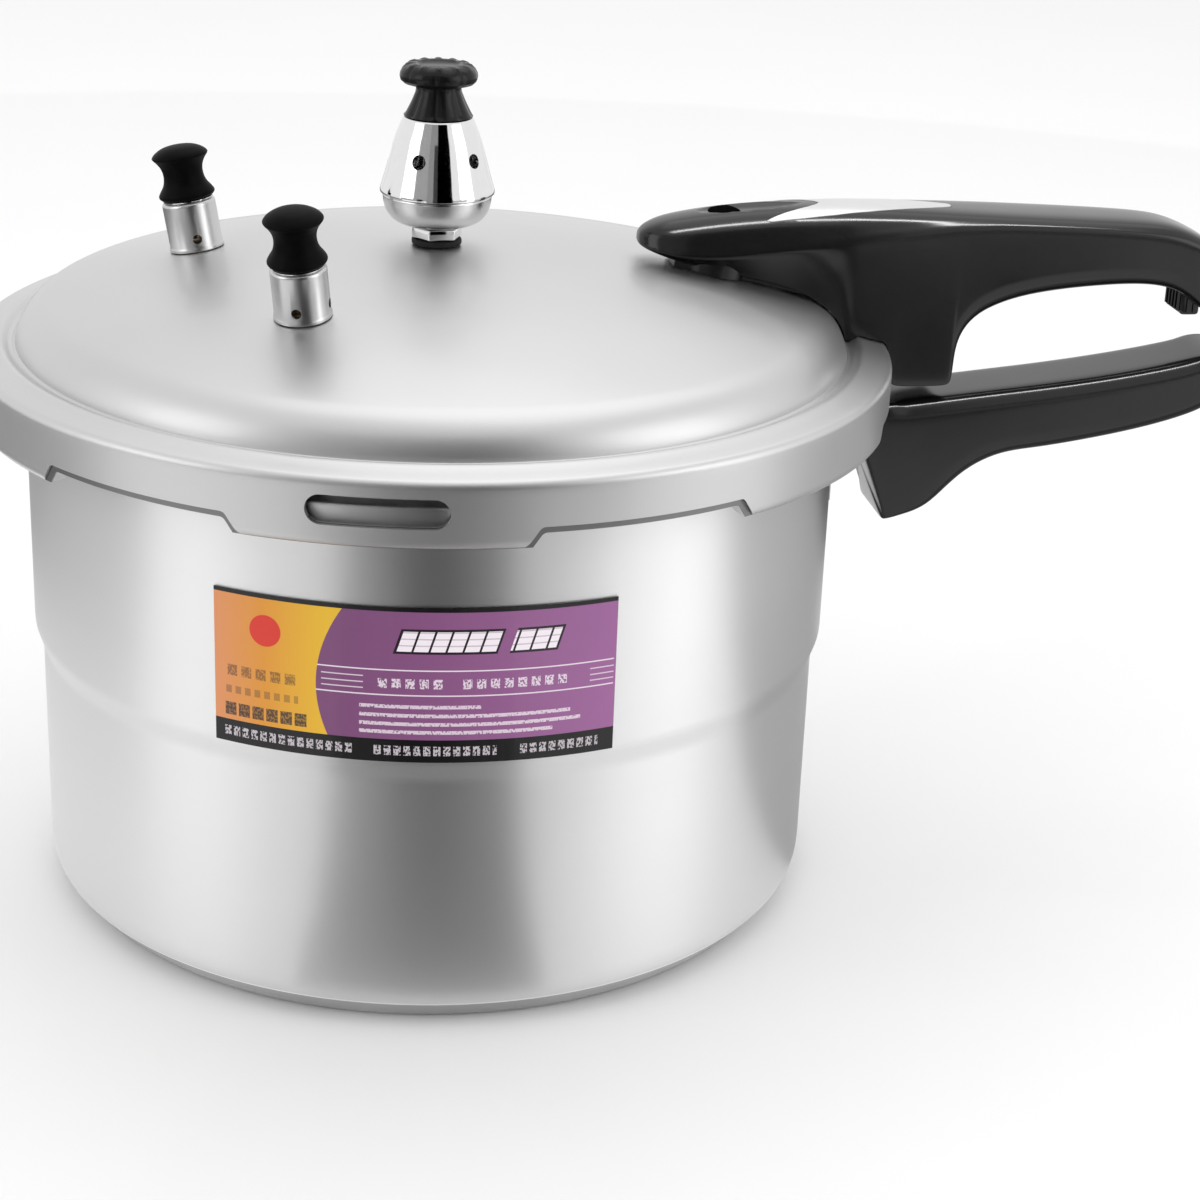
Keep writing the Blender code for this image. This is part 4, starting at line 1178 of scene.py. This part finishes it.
def make_float_valve(mats):
    """The indicator pin and its bush under the hole in the lid's handle."""
    stand = dome_frame(*FLOAT_AT)
    bush = rounded([(2.6, 3.0), (6.5, 3.0), (6.5, 0.3), (4.0, 0.3), (4.0, -6.2), (2.6, -6.2)], 0.3, 2)
    piece = place(spin("float_bush", mm(bush), 48), stand)
    finish_piece(piece, mats["steel"], "lid", ["float_valve_bush"])
    piece = place(tube("float_seal", 4.3, 7.0, -4.8, -2.8, 0.5), stand)
    finish_piece(piece, mats["rubber"], "lid", ["float_valve_seal"])
    pin = [(0.0, 6.2), (1.8, 6.2), (2.9, 5.8), (3.6, 5.0), (3.6, 3.5), (3.4, 3.3), (2.2, 3.3), (2.2, -10.6),
           (4.2, -11.0), (4.2, -12.2), (3.9, -12.5), (0.0, -12.5)]
    piece = place(spin("float_pin_head", mm(pin), 40, closed=False), stand)
    finish_piece(piece, mats["red"], "float_pin", ["float_valve_pin"])


# ---------------------------------------------------------------- the whole piece

set_camera()
strip = set_studio()
wall_metal = spun_aluminium("wall_aluminium", 0.80, 0.42, 0.05, 0.8, 6.9)
plate_metal = spun_aluminium("plate_aluminium", 0.68, 0.45, 0.05, 0.0)
lid_metal = satin_aluminium()
mats = {
    "rubber": soft_rubber("black_rubber", (0.012, 0.012, 0.012)),
    "red": soft_rubber("red_silicone", (0.42, 0.03, 0.02), 0.45),
    "plastic": moulded_plastic("black_moulding", 0.004, 0.17, 0.40),
    "knob_plastic": moulded_plastic("gloss_knob_plastic", 0.004, 0.22, 0.24),
    "matt_plastic": moulded_plastic("matt_knob_plastic", 0.0015, 0.45, 0.05),
    "steel": bright_metal("plain_steel", 0.58, 0.32),
    "shell": bright_metal("brushed_steel", 0.62, 0.27),
    "turned": bright_metal("turned_chrome", 0.70, 0.20),
    "chrome": bright_metal("chrome_plate", 0.84, 0.05),
    "brass": bright_metal("turned_brass", 0.80, 0.28, (1.0, 0.76, 0.40)),
    "silver": bright_metal("silver_plate", 0.78, 0.34),
}
make_pot(wall_metal)
make_label()
make_bracket(mats["steel"], plate_metal)
lower_handle = make_lower_handle(mats["plastic"])
make_steam_plate(plate_metal)
make_gasket(mats["rubber"])
make_lid(lid_metal)
upper_handle = make_upper_handle(mats["plastic"], mats["silver"])
lit = bpy.data.collections.new("handle_light")
lit.objects.link(lower_handle)
lit.objects.link(upper_handle)
strip.light_linking.receiver_collection = lit
make_handle_screws(mats["steel"])
make_vent(mats)
make_regulator(mats)
make_float_valve(mats)
for letter, spot in (("a", RELIEF_A), ("b", RELIEF_B)):
    make_relief_valve(letter, spot, mats)
